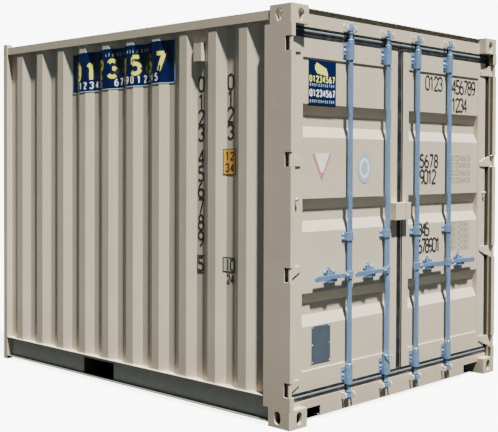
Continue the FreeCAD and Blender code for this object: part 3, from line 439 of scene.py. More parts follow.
def make_mottle():
    """Mottling: a broad and a fine noise together, about one, for multiplying a colour."""
    tree, given, out = shared_group(
        "mottle", {"Vector": VECTOR, "Scale": 4.0, "Depth": 0.1}, {"Factor": NUMBER, "Height": NUMBER})
    broad = noise(tree, given["Vector"], given["Scale"], 3.0)
    fine = noise(tree, given["Vector"], times(tree, given["Scale"], 22.0), 4.0)
    both = plus(tree, times(tree, broad, 0.7), times(tree, fine, 0.3))
    depth = times(tree, given["Depth"], 2.0)
    swing = times(tree, minus(tree, both, 0.5), depth)
    tree.links.new(plus(tree, swing, 1.0), out["Factor"])
    tree.links.new(fine, out["Height"])
    return tree


def make_ground_dust():
    """Ground dust: strongest at the foot and gone by a given height, with a ragged upper edge."""
    tree, given, out = shared_group("ground dust", {"Vector": VECTOR, "Height": 0.5}, {"Mask": NUMBER})
    uneven = times(tree, noise(tree, given["Vector"], 9.0, 5.0, 0.7), 0.25)
    ragged = plus(tree, axis_of(tree, given["Vector"], "Z"), uneven)
    tree.links.new(ranged(tree, ragged, plus(tree, given["Height"], 0.12), 0.1), out["Mask"])
    return tree


def make_weathering():
    """Painted light on ledges that look up and painted shade on upright flanks, by where a face looks."""
    tree, given, out = shared_group(
        "painted light and shade", {"Color": COLOUR, "Ledge Light": 0.8, "Flank Shade": 0.2}, {"Color": COLOUR})
    ledge = ranged(tree, facing(tree, "Z"), 0.35, 0.8)
    flank = ranged(tree, size_of(tree, facing(tree, "X")), 0.93, 0.985)
    kept = minus(tree, 1.0, times(tree, flank, given["Flank Shade"]))
    # The flanks' darkening is painted shade, and the pale colour on the ledges is painted light.
    darkened = mixed(tree, 1.0, given["Color"], kept, "MULTIPLY")
    ledge_lit = mixed(tree, times(tree, ledge, given["Ledge Light"]), darkened, (0.93, 0.85, 0.76, 1))
    tree.links.new(ledge_lit, out["Color"])
    return tree


def make_grime():
    """Painted shade: a blotched colour, from dark to pale, laid over the paint where a mask says."""
    tree, given, out = shared_group(
        "painted_shade", {"Color": COLOUR, "Vector": VECTOR, "Mask": 0.0, "Dark": COLOUR, "Pale": COLOUR,
                  "Scale": 26.0, "Detail": 5.0}, {"Color": COLOUR})
    blotch = noise(tree, given["Vector"], given["Scale"], given["Detail"])
    painted_shade = mixed(tree, blotch, given["Dark"], given["Pale"])
    tree.links.new(mixed(tree, given["Mask"], given["Color"], painted_shade), out["Color"])
    return tree


EDGE_WEAR = make_edge_wear()
STREAKS = make_rain_streaks()
MOTTLE = make_mottle()
DUST = make_ground_dust()
LIGHT_AND_SHADE = make_weathering()
PAINTED_SHADE = make_grime()


def place_group(tree, group, inputs):
    """A shared group placed in a material."""
    made = tree.nodes.new("ShaderNodeGroup")
    made.node_tree = group
    return feed(tree, made, inputs)


def new_material(name, **constants):
    """A material with its shader, whose constants sit on the shader's own sockets."""
    material = bpy.data.materials.new(name)
    material.use_nodes = True
    tree = material.node_tree
    shader = tree.nodes["Principled BSDF"]
    for key, value in constants.items():
        shader.inputs[key.replace("_", " ")].default_value = value
    vector = tree.nodes.new("ShaderNodeTexCoord").outputs["Object"]
    return material, tree, shader, vector


def bump(tree, shader, height, strength, distance, normal=None):
    """A bump from a height, on top of another normal where one is given."""
    inputs = {"Height": height, "Strength": strength, "Distance": distance}
    if normal is not None:
        inputs["Normal"] = normal
    tree.links.new(add(tree, "ShaderNodeBump", inputs).outputs[0], shader.inputs["Normal"])


# ------------------------------------------------------------------ finishes
RUST = (0.16, 0.06, 0.025, 1)


def painted_steel(name, colour, wear=0.25, dust=0.35, rough=0.42):
    """Sprayed paint on steel: mottled, faintly streaked, chipped to rust at the edges."""
    material, tree, shader, vector = new_material(name, Specular_IOR_Level=0.4)
    mottle = place_group(tree, MOTTLE, {"Vector": vector, "Scale": 2.2, "Depth": 0.11})
    edge = place_group(tree, EDGE_WEAR, {"Vector": vector, "Radius": 0.003, "Scale": 55.0, "Amount": wear})
    streak = place_group(tree, STREAKS, {"Vector": vector, "Scale": 26.0})["Mask"]
    overlay = place_group(tree, DUST, {"Vector": vector, "Height": 0.55})["Mask"]
    even = mixed(tree, 1.0, colour, mottle["Factor"], "MULTIPLY")
    # Painted light on ledges that look up and painted shade on upright flanks.
    paint = place_group(tree, LIGHT_AND_SHADE, {"Color": even, "Ledge Light": 0.8, "Flank Shade": 0.2})["Color"]
    streaky = tuple(c * 0.62 for c in colour[:3]) + (1,)
    faded = mixed(tree, times(tree, streak, 0.22), paint, streaky)
    darkened = mixed(tree, times(tree, overlay, dust), faded, (0.26, 0.2, 0.14, 1))
    spots = ranged(tree, noise(tree, vector, 34.0, 6.0, 0.7), 0.745, 0.79)
    chips = maths(tree, "MAXIMUM", edge["Mask"], times(tree, spots, 0.5))
    tree.links.new(mixed(tree, chips, darkened, RUST), shader.inputs["Base Color"])
    gloss = plus(tree, times(tree, mottle["Height"], 0.16), rough - 0.08)
    chipped = plus(tree, gloss, times(tree, chips, 0.3))
    tree.links.new(chipped, shader.inputs["Roughness"])
    dents = noise(tree, vector, 3.5, 2.0)
    peel = times(tree, noise(tree, vector, 420.0, 2.0), 0.035)
    height = minus(tree, plus(tree, dents, peel), times(tree, chips, 0.08))
    bump(tree, shader, height, 0.45, 0.0045, edge["Rounded"])
    return material


def pocket_mask(tree, vector):
    """Painted shade where a surface is inside a corner casting, by the least distance in from its six outer
    faces.

    The four castings fold onto one by |x| and |z - middle|, so that one box serves for all.
    """
    low, high = corners("corner_casting_top_right")
    middle = (LOW[2] + HIGH[2]) / 2
    centre = (low + high) / 2 - (0, 0, middle)
    half = (high - low) / 2
    raised = {0: vector, 1: (0, 0, middle)}
    folded = add(tree, "ShaderNodeVectorMath", raised, operation="SUBTRACT").outputs[0]
    parts = add(tree, "ShaderNodeSeparateXYZ", {0: folded}).outputs
    distances = []
    for axis in range(3):
        place = size_of(tree, parts[axis]) if axis != 1 else parts[axis]
        off = size_of(tree, minus(tree, place, centre[axis]))
        distances.append(minus(tree, half[axis], off))
    inset = maths(tree, "MINIMUM", maths(tree, "MINIMUM", distances[0], distances[1]), distances[2])
    # The painted shade is a quarter as strong in the upper castings.
    low_down = ranged(tree, parts[2], 0.0, -0.5, 0.25, 1.0)
    return times(tree, ranged(tree, inset, 0.013, 0.028), low_down)


def soiled_paint(name, base, mask_of, dark, pale=None, scale=26.0, detail=5.0):
    """Another paint with painted shade, a blotched dark colour, where mask_of, a function of the material's
    nodes, says.
    """
    material = base.copy()
    material.name = name
    tree = material.node_tree
    colour = tree.nodes["Principled BSDF"].inputs["Base Color"]
    vector = add(tree, "ShaderNodeTexCoord").outputs["Object"]
    inputs = {"Color": colour.links[0].from_socket, "Vector": vector, "Mask": mask_of(tree, vector),
              "Dark": dark, "Pale": pale or tuple(c * 1.7 for c in dark[:3]) + (1,), "Scale": scale,
              "Detail": detail}
    tree.links.new(place_group(tree, PAINTED_SHADE, inputs)["Color"], colour)
    return material


def jamb_mask(tree, vector):
    """Painted shade on the door posts' inner sides, in front of the door's edge, with a painted lit line
    along one ridge 34 mm back.
    """
    across, back = (axis_of(tree, vector, axis) for axis in "XY")
    off = size_of(tree, minus(tree, size_of(tree, across), JAMB_X))
    depth = ranged(tree, back, LOW[1] + 0.1, LOW[1] + 0.09)
    ridge = size_of(tree, minus(tree, back, LOW[1] + 0.034))
    lit_ridge = ranged(tree, ridge, 0.003, 0.009, 0.25, 1.0)
    return times(tree, ranged(tree, off, 0.004, 0.002), times(tree, depth, lit_ridge))


def lip_mask(tree, vector):
    """Painted shade on the header's upper lip: from 4 mm above the header's shelf."""
    return ranged(tree, axis_of(tree, vector, "Z"), HIGH[2] - 0.041, HIGH[2] - 0.037, 0.0, 0.85)


def rail_mask(tree, vector):
    """On the bottom rails: painted shade below the wall's foot, with a ragged upper edge."""
    uneven = times(tree, noise(tree, vector, 12.0, 5.0, 0.7), 0.012)
    return ranged(tree, plus(tree, axis_of(tree, vector, "Z"), uneven), 0.187, 0.172)


def flange_mask(tree, vector):
    """On the bottom rails' lower flange: painted shade, darkest there."""
    return ranged(tree, axis_of(tree, vector, "Z"), LOW[2] + 0.034, LOW[2] + 0.028)


def galvanised_steel(name, colour, metallic, rough):
    """Zinc-coated steel: crystal patches of slightly different grey, dull streaks and pale salts."""
    material, tree, shader, vector = new_material(name, Metallic=metallic)
    cells = add(tree, "ShaderNodeTexVoronoi", {"Vector": vector, "Scale": 130.0}, feature="F1")
    grey = add(tree, "ShaderNodeSeparateColor", {0: cells.outputs["Color"]}).outputs[0]
    edge = place_group(tree, EDGE_WEAR, {"Vector": vector, "Radius": 0.0015, "Scale": 90.0, "Amount": 0.6})
    streak = place_group(tree, STREAKS, {"Vector": vector, "Scale": 60.0})["Mask"]
    mottle = place_group(tree, MOTTLE, {"Vector": vector, "Scale": 7.0, "Depth": 0.2})
    spangle = ranged(tree, grey, 0.0, 1.0, 0.86, 1.14)
    zinc = mixed(tree, 1.0, mixed(tree, 1.0, colour, spangle, "MULTIPLY"), mottle["Factor"], "MULTIPLY")
    dull = mixed(tree, times(tree, streak, 0.45), zinc, (0.2, 0.2, 0.2, 1))
    bright = mixed(tree, times(tree, edge["Mask"], 0.5), dull, (0.8, 0.84, 0.9, 1))
    tree.links.new(bright, shader.inputs["Base Color"])
    tree.links.new(plus(tree, times(tree, grey, 0.12), rough), shader.inputs["Roughness"])
    height = plus(tree, mottle["Height"], times(tree, cells.outputs["Distance"], 0.5))
    bump(tree, shader, height, 0.25, 0.0008, edge["Rounded"])
    return material


def rubber(name):
    """Black door seal: fine ribs, pale dust lying in patches, and a painted sheen of that pale colour on the
    faces that look up.
    """
    material, tree, shader, vector = new_material(name, Specular_IOR_Level=0.5)
    patches = ranged(tree, noise(tree, vector, 14.0, 5.0, 0.6), 0.45, 0.8, 0.0, 0.3)
    # Dust in patches, and a painted sheen on the faces that look up, in one mask.
    overlay = maths(tree, "MAXIMUM", patches, ranged(tree, facing(tree, "Z"), 0.0, 0.6))
    colour = mixed(tree, overlay, (0.01, 0.011, 0.013, 1), (0.17, 0.2, 0.24, 1))
    tree.links.new(colour, shader.inputs["Base Color"])
    tree.links.new(ranged(tree, overlay, 0.0, 0.4, 0.4, 0.62), shader.inputs["Roughness"])
    bump(tree, shader, noise(tree, vector, 160.0, 3.0), 0.2, 0.0008)
    return material


def plywood(name):
    """Sealed plywood: grain drawn out along the container, brown blotches and scuffs."""
    material, tree, shader, vector = new_material(name)
    grain = noise(tree, stretched(tree, vector, (30.0, 2.2, 30.0)), 3.0, 6.0, 0.6)
    blotch = noise(tree, vector, 2.2, 3.0)
    wood = mixed(tree, grain, (0.13, 0.06, 0.03, 1), (0.42, 0.24, 0.12, 1))
    scuff = ranged(tree, noise(tree, stretched(tree, vector, (1.0, 0.15, 1.0)), 26.0, 5.0, 0.7), 0.6, 0.72)
    worn = mixed(tree, times(tree, scuff, 0.5), wood, (0.5, 0.4, 0.3, 1))
    tree.links.new(mixed(tree, ranged(tree, blotch, 0.4, 0.7, 0.0, 0.45), worn, (0.1, 0.05, 0.03, 1)),
                   shader.inputs["Base Color"])
    tree.links.new(ranged(tree, grain, 0.3, 0.7, 0.45, 0.65), shader.inputs["Roughness"])
    bump(tree, shader, grain, 0.35, 0.0012)
    return material


def film(name, colour, rough=0.3, fade=0.12, metallic=0.0):
    """Printed film or flat paint: a slightly faded colour with fine wrinkles and rub marks."""
    material, tree, shader, vector = new_material(name, Metallic=metallic)
    mottle = place_group(tree, MOTTLE, {"Vector": vector, "Scale": 9.0, "Depth": fade})
    rub = ranged(tree, noise(tree, stretched(tree, vector, (1.0, 1.0, 0.4)), 45.0, 6.0, 0.7), 0.62, 0.78)
    printed = mixed(tree, 1.0, colour, mottle["Factor"], "MULTIPLY")
    pale = tuple(min(1.0, c * 0.7 + 0.16) for c in colour[:3]) + (1,)
    rubbed = mixed(tree, times(tree, rub, 0.35), printed, pale)
    tree.links.new(rubbed, shader.inputs["Base Color"])
    tree.links.new(ranged(tree, rub, 0.0, 1.0, rough, rough + 0.25), shader.inputs["Roughness"])
    bump(tree, shader, noise(tree, vector, 60.0, 3.0), 0.12, 0.0006)
    return material


BEIGE = painted_steel("beige container paint", (0.56, 0.5, 0.395, 1))
# Painted shade inside the castings' pockets.
CASTING = soiled_paint("casting paint", BEIGE, pocket_mask, (0.012, 0.011, 0.009, 1), (0.05, 0.043, 0.033, 1),
                       30.0, 4.0)
JAMB_X = HIGH[0] - 0.044
# Painted shade on the door posts' inner sides.
POST_PAINT = soiled_paint("door post paint", BEIGE, jamb_mask, (0.05, 0.046, 0.03, 1))
# Painted shade on the header's upper lip.
HEADER_PAINT = soiled_paint("header paint", BEIGE, lip_mask, (0.075, 0.075, 0.062, 1))
# Painted shade on the bottom rails, darkest on the lower flange.
RAIL_SHADE = soiled_paint("bottom rail grime", BEIGE, rail_mask, (0.33, 0.335, 0.29, 1))
RAIL_PAINT = soiled_paint("bottom rail paint", RAIL_SHADE, flange_mask, (0.012, 0.013, 0.012, 1))
# The keepers' paint is a paler copy of the beige: painted light on them, with more chipped edges.
KEEPER_PAINT = painted_steel("cam keeper paint", (0.82, 0.77, 0.68, 1), wear=0.5, dust=0.0)
BEIGE_ROOF = painted_steel("beige roof paint", (0.6, 0.55, 0.46, 1), wear=0.15, dust=0.0)
UNDERSIDE = painted_steel("dark underbody paint", (0.03, 0.031, 0.03, 1), wear=0.1, dust=0.2, rough=0.6)
ZINC = galvanised_steel("blue-grey zinc", (0.2, 0.345, 0.6, 1), 0.5, 0.3)
# A darker zinc, used only as painted shade on the bearings' outer bolts.
SHADED_ZINC = galvanised_steel("dull zinc", (0.12, 0.16, 0.22, 1), 0.4, 0.5)
BRIGHT_ZINC = galvanised_steel("bright zinc", (0.62, 0.68, 0.76, 1), 0.7, 0.26)
SEAL = rubber("door seal rubber")
FLOOR_WOOD = plywood("sealed floor plywood")
PLATE = film("anodised plate", (0.105, 0.14, 0.19, 1), 0.35, 0.35, 0.5)
SIGN_BLUE = film("navy sign film", (0.001, 0.006, 0.052, 1))
SIGN_WHITE = film("white sign film", (0.8, 0.82, 0.84, 1))
SIGN_YELLOW = film("yellow sign film", (0.85, 0.86, 0.16, 1))
STENCIL = film("stencil black", (0.018, 0.02, 0.024, 1), 0.5)
FAINT = film("faded stencil grey", (0.33, 0.31, 0.27, 1), 0.5)
OCHRE = film("ochre placard film", (0.55, 0.3, 0.05, 1))
PINK = film("pink film", (0.62, 0.22, 0.2, 1))
PALE_BLUE = film("pale blue film", (0.34, 0.46, 0.6, 1))


def paint_frame():
    """Gives every CAD node its finish by its kind."""
    for name, node in NODES.items():
        if "gasket" in name:
            finish = SEAL
        elif "floor_boards" in name:
            finish = FLOOR_WOOD
        elif name in ("cross_members", "forklift_pocket"):
            finish = UNDERSIDE
        elif name == "data_plate":
            finish = PLATE
        elif any(word in name for word in ("_rod", "_handle", "catches", "hinge_lugs")):
            finish = ZINC
        elif "corner_casting" in name:
            finish = CASTING
        elif "door_post" in name:
            finish = POST_PAINT
        elif name == "door_header":
            finish = HEADER_PAINT
        elif "bottom_rail_" in name:
            finish = RAIL_PAINT
        elif name == "cam_keepers":
            finish = KEEPER_PAINT
        elif name == "roof_panel":
            finish = BEIGE_ROOF
        else:
            finish = BEIGE
        node.data.materials.clear()
        node.data.materials.append(finish)


paint_frame()


# ------------------------------------------------------------------ bolts, rivets and pins
BOLT = [(0.0, 0.0), (0.0125, 0.0), (0.0125, 0.0015), (0.0095, 0.0017), (0.0095, 0.0065), (0.0082, 0.0078),
        (0.0, 0.0078)]
RIVET = [(0.0, 0.0), (0.0055, 0.0), (0.0055, 0.0008), (0.0042, 0.0022), (0.0018, 0.003), (0.0, 0.0031)]
SCREW = [(0.0, 0.0), (0.006, 0.0), (0.006, 0.0005), (0.003, 0.0003), (0.0, 0.0002)]
PIN_HEAD = [(0.0, 0.0), (0.011, 0.0), (0.011, 0.002), (0.0095, 0.0042), (0.0, 0.005)]
BRACKET_TOP = {"upper": 2.410, "lower": 0.302}
CLAMP_Z = 1.150
CATCH_Z = 0.9
CATCH_REACH = 0.177


def rod_x(side, place):
    return joint_at(f"{side}_door_{place}_rod_turn")[0]


def add_gear_fixings():
    """Hex bolts on the rod bearings and the handle catches of each door. The bearings' outer two are darker,
    as painted shade.
    """
    for side in SIDES:
        bright, dull = [], []
        for place in PLACES:
            x = rod_x(side, place)
            for top in BRACKET_TOP.values():
                # The outer two bolts of each bearing take the darker zinc: painted shade.
                for drop, kind in ((0.022, dull), (0.050, bright), (0.078, dull)):
                    kind.append((x - 0.038, DOOR_Y - 0.005, top - 0.004 - drop))
            bright += [(x - 0.037, PANEL_Y[0] - 0.005, CLAMP_Z + d) for d in (-0.014, 0.014)]
            centre = x + SIDES[side] * CATCH_REACH
            bright += [(centre + dx, PANEL_Y[0] - 0.005, CATCH_Z + dz)
                       for dx in (-0.045, 0.045) for dz in (-0.031, 0.031)]
        for label, places, finish in (("bright", bright, BRIGHT_ZINC), ("dull", dull, SHADED_ZINC)):
            turned(f"{side}_{label}_bolts", places, (0, -1, 0), BOLT, finish, side + "_door",
                   flats=6, flat_rows=(3, 4, 5))


COLLAR_RIM = [(0.0165, 0.0), (0.0222, 0.0), (0.0226, 0.0015), (0.0222, 0.0035), (0.019, 0.0048),
              (0.0168, 0.005)]


def add_collar_rims():
    """A painted highlight: a bright zinc rim on top of each rod's collars."""
    for side in SIDES:
        for place in PLACES:
            x, y, _ = joint_at(f"{side}_door_{place}_rod_turn")
            tops = [(x, y, top + 0.0125) for top in BRACKET_TOP.values()]
            turned(f"{side}_{place}_collar_rims", tops, (0, 0, 1), COLLAR_RIM, BRIGHT_ZINC,
                   f"{side}_door_{place}_rod", sides=28)


def add_pin_heads():
    """A domed head on the front of each handle's pin."""
    for side in SIDES:
        for place in PLACES:
            x, y, z = joint_at(f"{side}_door_{place}_handle_lift")
            turned(f"{side}_{place}_pin_head", [(x, y - 0.013, z)], (0, -1, 0), PIN_HEAD, BRIGHT_ZINC,
                   f"{side}_door_{place}_rod")


def add_plate_rivets():
    """A rivet near each corner of the data plate and half-way up its sides."""
    low, high = corners("data_plate")
    xs = (low[0] + 0.01, high[0] - 0.01)
    zs = (low[2] + 0.01, (low[2] + high[2]) / 2, high[2] - 0.01)
    places = [(x, low[1], z) for x in xs for z in zs]
    turned("data_plate_rivets", places, (0, -1, 0), RIVET, BRIGHT_ZINC, "left_door", sides=12)


def add_floor_screws():
    """Countersunk screws in the floor: ten rows of nine."""
    low, high = corners("floor_boards")
    ys = np.linspace(low[1] + 0.06, high[1] - 0.06, 10)
    xs = np.linspace(low[0] + 0.08, high[0] - 0.08, 9)
    centres = [(x, y, high[2]) for y in ys for x in xs]
    turned("floor_screws", centres, (0, 0, 1), SCREW, BRIGHT_ZINC, "root", sides=10)


def add_door_knobs():
    """A small turned stop on each door's hinge stile."""
    knob = [(0.0, 0.0), (0.011, 0.0), (0.011, 0.003), (0.006, 0.005), (0.006, 0.014), (0.011, 0.017),
            (0.012, 0.022), (0.009, 0.027), (0.0, 0.029)]
    for side, sign in SIDES.items():
        turned(side + "_door_stop", [(sign * 1.119, DOOR_Y, 1.40)], (0, -1, 0), knob, BRIGHT_ZINC,
               side + "_door")


add_gear_fixings()
add_collar_rims()
add_pin_heads()
add_plate_rivets()
add_floor_screws()
add_door_knobs()


# ------------------------------------------------------------------ welds
def rectangle_line(x0, x1, z0, z1, y):
    """A closed level-and-upright rectangle at one depth."""
    return [(x0, y, z0), (x1, y, z0), (x1, y, z1), (x0, y, z1), (x0, y, z0)]


BEAD_INSET = 0.0036
CASTING_LENGTH = 0.174


def add_shell_welds():
    """Fillet beads where the castings meet the posts and the walls meet the rails and posts."""
    lines = []
    front = LOW[1] + BEAD_INSET
    for side, sign in SIDES.items():
        post_low, post_high = corners("door_post_" + side)
        wall_low, wall_high = corners("side_wall_" + side)
        x = sign * (HIGH[0] - BEAD_INSET)
        for z in (post_low[2], post_high[2]):
            lines.append([(x, LOW[1] + 0.004, z), (x, LOW[1] + CASTING_LENGTH, z)])
            lines.append([(sign * (HIGH[0] - 0.004), front, z), (sign * (HIGH[0] - 0.038), front, z)])
        for z in (wall_low[2] + 0.001, wall_high[2] - 0.001):
            lines.append(np.stack([-sign * WALL_X, WALL_Y, np.full(len(WALL_Y), z)], 1))
        for y in (wall_low[1] + 0.001, wall_high[1] - 0.001):
            edge_x = sign * abs(np.interp(y, WALL_Y, WALL_X))
            lines.append([(edge_x, y, wall_low[2]), (edge_x, y, wall_high[2])])
    tubes("shell_welds", lines, 0.0032, BEIGE, *ON_SHELL, 0.004, 0.05, 0.024, 6)


def add_keeper_welds():
    """Fillet beads round each cam keeper."""
    low, high = corners("cam_keepers")
    lines = []
    back = corners("door_sill")[0][1]
    for side in SIDES:
        for place in PLACES:
            x = rod_x(side, place)
            for z0, z1 in ((low[2], low[2] + 0.040), (high[2] - 0.040, high[2])):
                lines.append(rectangle_line(x - 0.05, x + 0.05, z0, z1, back - 0.0005))
    tubes("keeper_welds", lines, 0.003, BEIGE, *ON_SHELL, 0.004, 0.05, 0.02, 6)


def add_door_welds():
    """A bead where each door's sheet meets its frame, following the pressed recesses at the sides."""
    for side, sign in SIDES.items():
        low, high = corners(side + "_door_panel")
        edges = []
        for x in (low[0] + 0.0005, high[0] - 0.0005):
            edges.append(np.stack([np.full(len(PANEL_Z), x), PANEL_Y, PANEL_Z], 1))
        for z in (PANEL_Z[0] + 0.0005, PANEL_Z[-1] - 0.0005):
            edges.append([(low[0], PANEL_Y[0], z), (high[0], PANEL_Y[0], z)])
        tubes(side + "_door_welds", edges, 0.0028, BEIGE, side + "_door", "beige_paint", 0.004, 0.05,
              0.024, 6)


add_shell_welds()
add_keeper_welds()
add_door_welds()


# ------------------------------------------------------------------ the seals' thin outer lips
LIP_WAVE = 0.0002


def flat_lip(name, x0, x1, z0, z1, body):
    """A rubber lip on the doors' front plane, a little wavy: y - wave * |sin(9 x) * sin(11 z)|."""
    def place(x, z, lift):
        """The lip's back, a little off the face."""
        return np.stack([x, DOOR_Y - lift - LIP_WAVE * np.abs(np.sin(9 * x) * np.sin(11 * z)), z], -1)

    sheet_on(name, place, span(x0, x1, 0.03), span(z0, z1, 0.03), SEAL, body, "seal_rubber", 0.0003, 0.0011)


def add_seal_lips():
    """The lips that lap over the doors' edges and the header's foot."""
    door_low, door_high = corners("right_door_frame")
    header_foot = corners("door_header")[0][2]
    box_low, box_high = corners("right_door_lock_box")
    for side, sign in SIDES.items():
        body = side + "_door"
        ends = sorted((sign * 0.003, sign * (door_high[0] + 0.022)))
        flat_lip(side + "_seal_lip_top", *ends, door_high[2] - 0.012, door_high[2] + 0.001, body)
        flat_lip(side + "_seal_lip_bottom", *ends, door_low[2] - 0.001, door_low[2] + 0.014, body)
        seam = sorted((sign * (door_low[0] - 0.001), sign * (door_low[0] + 0.009)))
        flat_lip(side + "_seam_lip_low", *seam, door_low[2], box_low[2], body)
        flat_lip(side + "_seam_lip_high", *seam, box_high[2], door_high[2], body)
    flat_lip("header_seal_strip", -JAMB_X, JAMB_X, header_foot - 0.001, header_foot + 0.010, "root")


add_seal_lips()


# ------------------------------------------------------------------ signs and plain numbers
def frame_strips(name, place, a0, a1, b0, b1, width, material, body, slot, lift):
    """Four narrow strips round a rectangle on a surface."""
    strips = {"low": (a0, a1, b0, b0 + width), "high": (a0, a1, b1 - width, b1),
              "near": (a0, a0 + width, b0, b1), "far": (a1 - width, a1, b0, b1)}
    for label, (p, q, r, s) in strips.items():
        sheet_on(f"{name}_{label}", place, span(p, q), span(r, s), material, body, slot, lift)


SIGN_NEAR, SIGN_FAR = 1.085, 2.252
SIGN_RISE = 0.022


def on_wall_sign(s, z, lift=LIFT):
    """The left wall's face, for a sign hung a little out of level: it rises towards the door end."""
    return on_left_wall(s, z + (SIGN_FAR - s) * SIGN_RISE, lift)


def add_wall_sign():
    """The long blue sign near the top of the left wall: a pale border and plain outlined numbers."""
    near, far, low, high = SIGN_NEAR, SIGN_FAR, 2.146, 2.448
    start = far - 0.085
    sheet_on("wall_sign", on_wall_sign, span(near, far), span(low, high, 0.05), SIGN_BLUE, *SHELL_FILM)
    frame_strips("wall_sign_border", on_wall_sign, near, far, low, high, 0.007, PALE_BLUE, *SHELL_FILM,
                 LIFT + 0.0008)
    big = [("01234567", start, 2.237, 0.118, 0.028, 0.133)]
    shade = [("01234567", start, 2.237, 0.118, 0.028 * 1.7, 0.133)]
    small = [("012345", start, 2.172, 0.046, 0.0105, 0.052),
             ("6789012345", far - 0.53, 2.172, 0.046, 0.0105, 0.052)]
    tiny = [("6789012345678901", far - 0.45, 2.385, 0.021, 0.004, 0.0305)]
    rows = {"number_edges": (shade, STENCIL, 0.0012), "numbers": (big, SIGN_YELLOW, 0.0022),
            "small_numbers": (small, SIGN_WHITE, 0.0014), "tiny_numbers": (tiny, PALE_BLUE, 0.0014)}
    for label, (items, finish, rise) in rows.items():
        numbers("wall_sign_" + label, on_wall_sign, items, finish, *SHELL_FILM, LIFT + rise, -1)


def add_wall_numbers():
    """Black numbers down two of the left wall's inner flats, and an ochre placard beside them."""
    first, second, height, stroke = 0.852, 0.579, 0.096, 0.012
    feet = [2.100, 1.984, 1.879, 1.773] + [1.614 - 0.108 * k for k in range(6)]
    items = [(str(k), first, foot, height, stroke, 0) for k, foot in enumerate(feet)]
    items += [(str(k), second, foot, height, stroke, 0) for k, foot in enumerate((2.1, 1.995, 1.889, 1.781))]
    items += [("5", first, 0.907, 0.090, stroke, 0), ("1", 0.597, 0.930, 0.070, 0.010, 0),
              ("0", 0.551, 0.930, 0.070, 0.010, 0), ("24", 0.584, 0.848, 0.052, 0.008, 0.033)]
    numbers("wall_numbers", on_left_wall, items, STENCIL, *ON_SHELL, flip=-1)
    boxes = {"wall_number_box": (0.795, 0.865, 0.893, 1.012), "wall_size_box": (0.500, 0.612, 0.916, 1.014)}
    for label, sides in boxes.items():
        frame_strips(label, on_left_wall, *sides, 0.006, STENCIL, *ON_SHELL, LIFT)
    patches = {"wall_size_patch": ((0.560, 0.604), (0.924, 1.006), FAINT, ON_SHELL, -0.0004),
               "placard_edge": ((0.497, 0.612), (1.546, 1.716), STENCIL, SHELL_FILM, 0.0),
               "placard": ((0.502, 0.608), (1.552, 1.711), OCHRE, SHELL_FILM, 0.0008)}
    for label, (across, up, finish, part, rise) in patches.items():
        sheet_on(label, on_left_wall, span(*across), span(*up), finish, *part, LIFT + rise)
    rows = [("12", 0.594, 1.645, 0.050, 0.009, 0.042), ("34", 0.594, 1.569, 0.050, 0.009, 0.042)]
    numbers("placard_numbers", on_left_wall, rows, STENCIL, *SHELL_FILM, LIFT + 0.0018, -1)


def add_door_sign():
    """The small blue sign at the top of the left door: a pale slanting shape over plain numbers."""
    x0, x1, z0, z1 = -0.985, -0.711, 1.985, 2.27
    sheet_on("door_sign", on_door, span(x0, x1), span(z0, z1), SIGN_BLUE, *LEFT_FILM)
    top = LIFT + 0.001

    def slanted(a, share, lift):
        """Between two edges that slope down to the right: z = foot(a) + share * (crown(a) - foot(a))."""
        crown = np.interp(a, x0 + np.array([0.062, 0.078, 0.175, 0.190]), (2.232, 2.258, 2.224, 2.190))
        foot = np.interp(a, x0 + np.array([0.062, 0.084, 0.190]), (2.216, 2.190, 2.176))
        return on_door(a, foot + share * (crown - foot), lift)

    bends = x0 + np.array([0.062, 0.078, 0.084, 0.175, 0.190])
    sheet_on("door_sign_patch", slanted, bends, np.linspace(0, 1, 4), SIGN_YELLOW, *LEFT_FILM, top)
    rows = {"numbers": ("01234567", 0.012, 2.136, 0.036, 0.0085, 0.0325, SIGN_YELLOW),
            "small_numbers": ("890123456789", 0.014, 2.108, 0.016, 0.004, 0.0210, PALE_BLUE),
            "more_numbers": ("01234567", 0.014, 2.046, 0.038, 0.0095, 0.0325, SIGN_WHITE),
            "foot_numbers": ("890123456789", 0.014, 2.006, 0.016, 0.004, 0.0210, PALE_BLUE)}
    for label, (figures, left, foot, height, stroke, advance, finish) in rows.items():
        items = [(figures, x0 + left, foot, height, stroke, advance)]
        numbers("door_sign_" + label, on_door, items, finish, *LEFT_FILM, top)


def add_triangle():
    """A white sticker, point down, with a pink edge: level rows whose width shrinks to nothing."""
    centre, top, foot, half = -0.849, 1.685, 1.517, 0.094

    def narrowing(share, z, lift):
        """x = centre + share * half * (z - foot) / (top - foot)."""
        return on_door(centre + share * half * (z - foot) / (top - foot), z, lift)

    shares = np.linspace(-1, 1, 9)
    sheet_on("triangle_sticker", narrowing, shares, span(foot + 0.004, top), PINK, *LEFT_FILM)

    def inner(share, z, lift):
        """The same outline drawn in from each edge by an even margin."""
        x = centre + share * 0.79 * half * (z - foot) / (top - foot)
        return on_door(x, z * 0.86 + 0.14 * (top - 0.012) + 0.004, lift)

    sheet_on("triangle_sticker_face", inner, shares, span(foot + 0.024, top), SIGN_WHITE, *LEFT_FILM,
             LIFT + 0.001)


def add_round_sticker():
    """An oval sticker in plain rings: (rx cos t, rz sin t) scaled by each ring's share."""
    centre_x, centre_z = -0.40, 1.593
    rings = {"edge": (0.72, 1.0, PALE_BLUE), "band": (0.46, 0.7, SIGN_WHITE),
             "middle": (0.02, 0.44, PALE_BLUE)}
    turns = np.linspace(0, 2 * math.pi, 49)
    for label, (inner, outer, finish) in rings.items():
        def ringed(turn, share, lift):
            """A point on the oval, by its turn and its share of the full size."""
            x = centre_x + 0.078 * share * np.cos(turn)
            return on_door(x, centre_z + 0.1 * share * np.sin(turn), lift)

        sheet_on("oval_sticker_" + label, ringed, turns, np.linspace(inner, outer, 3), finish, *LEFT_FILM)


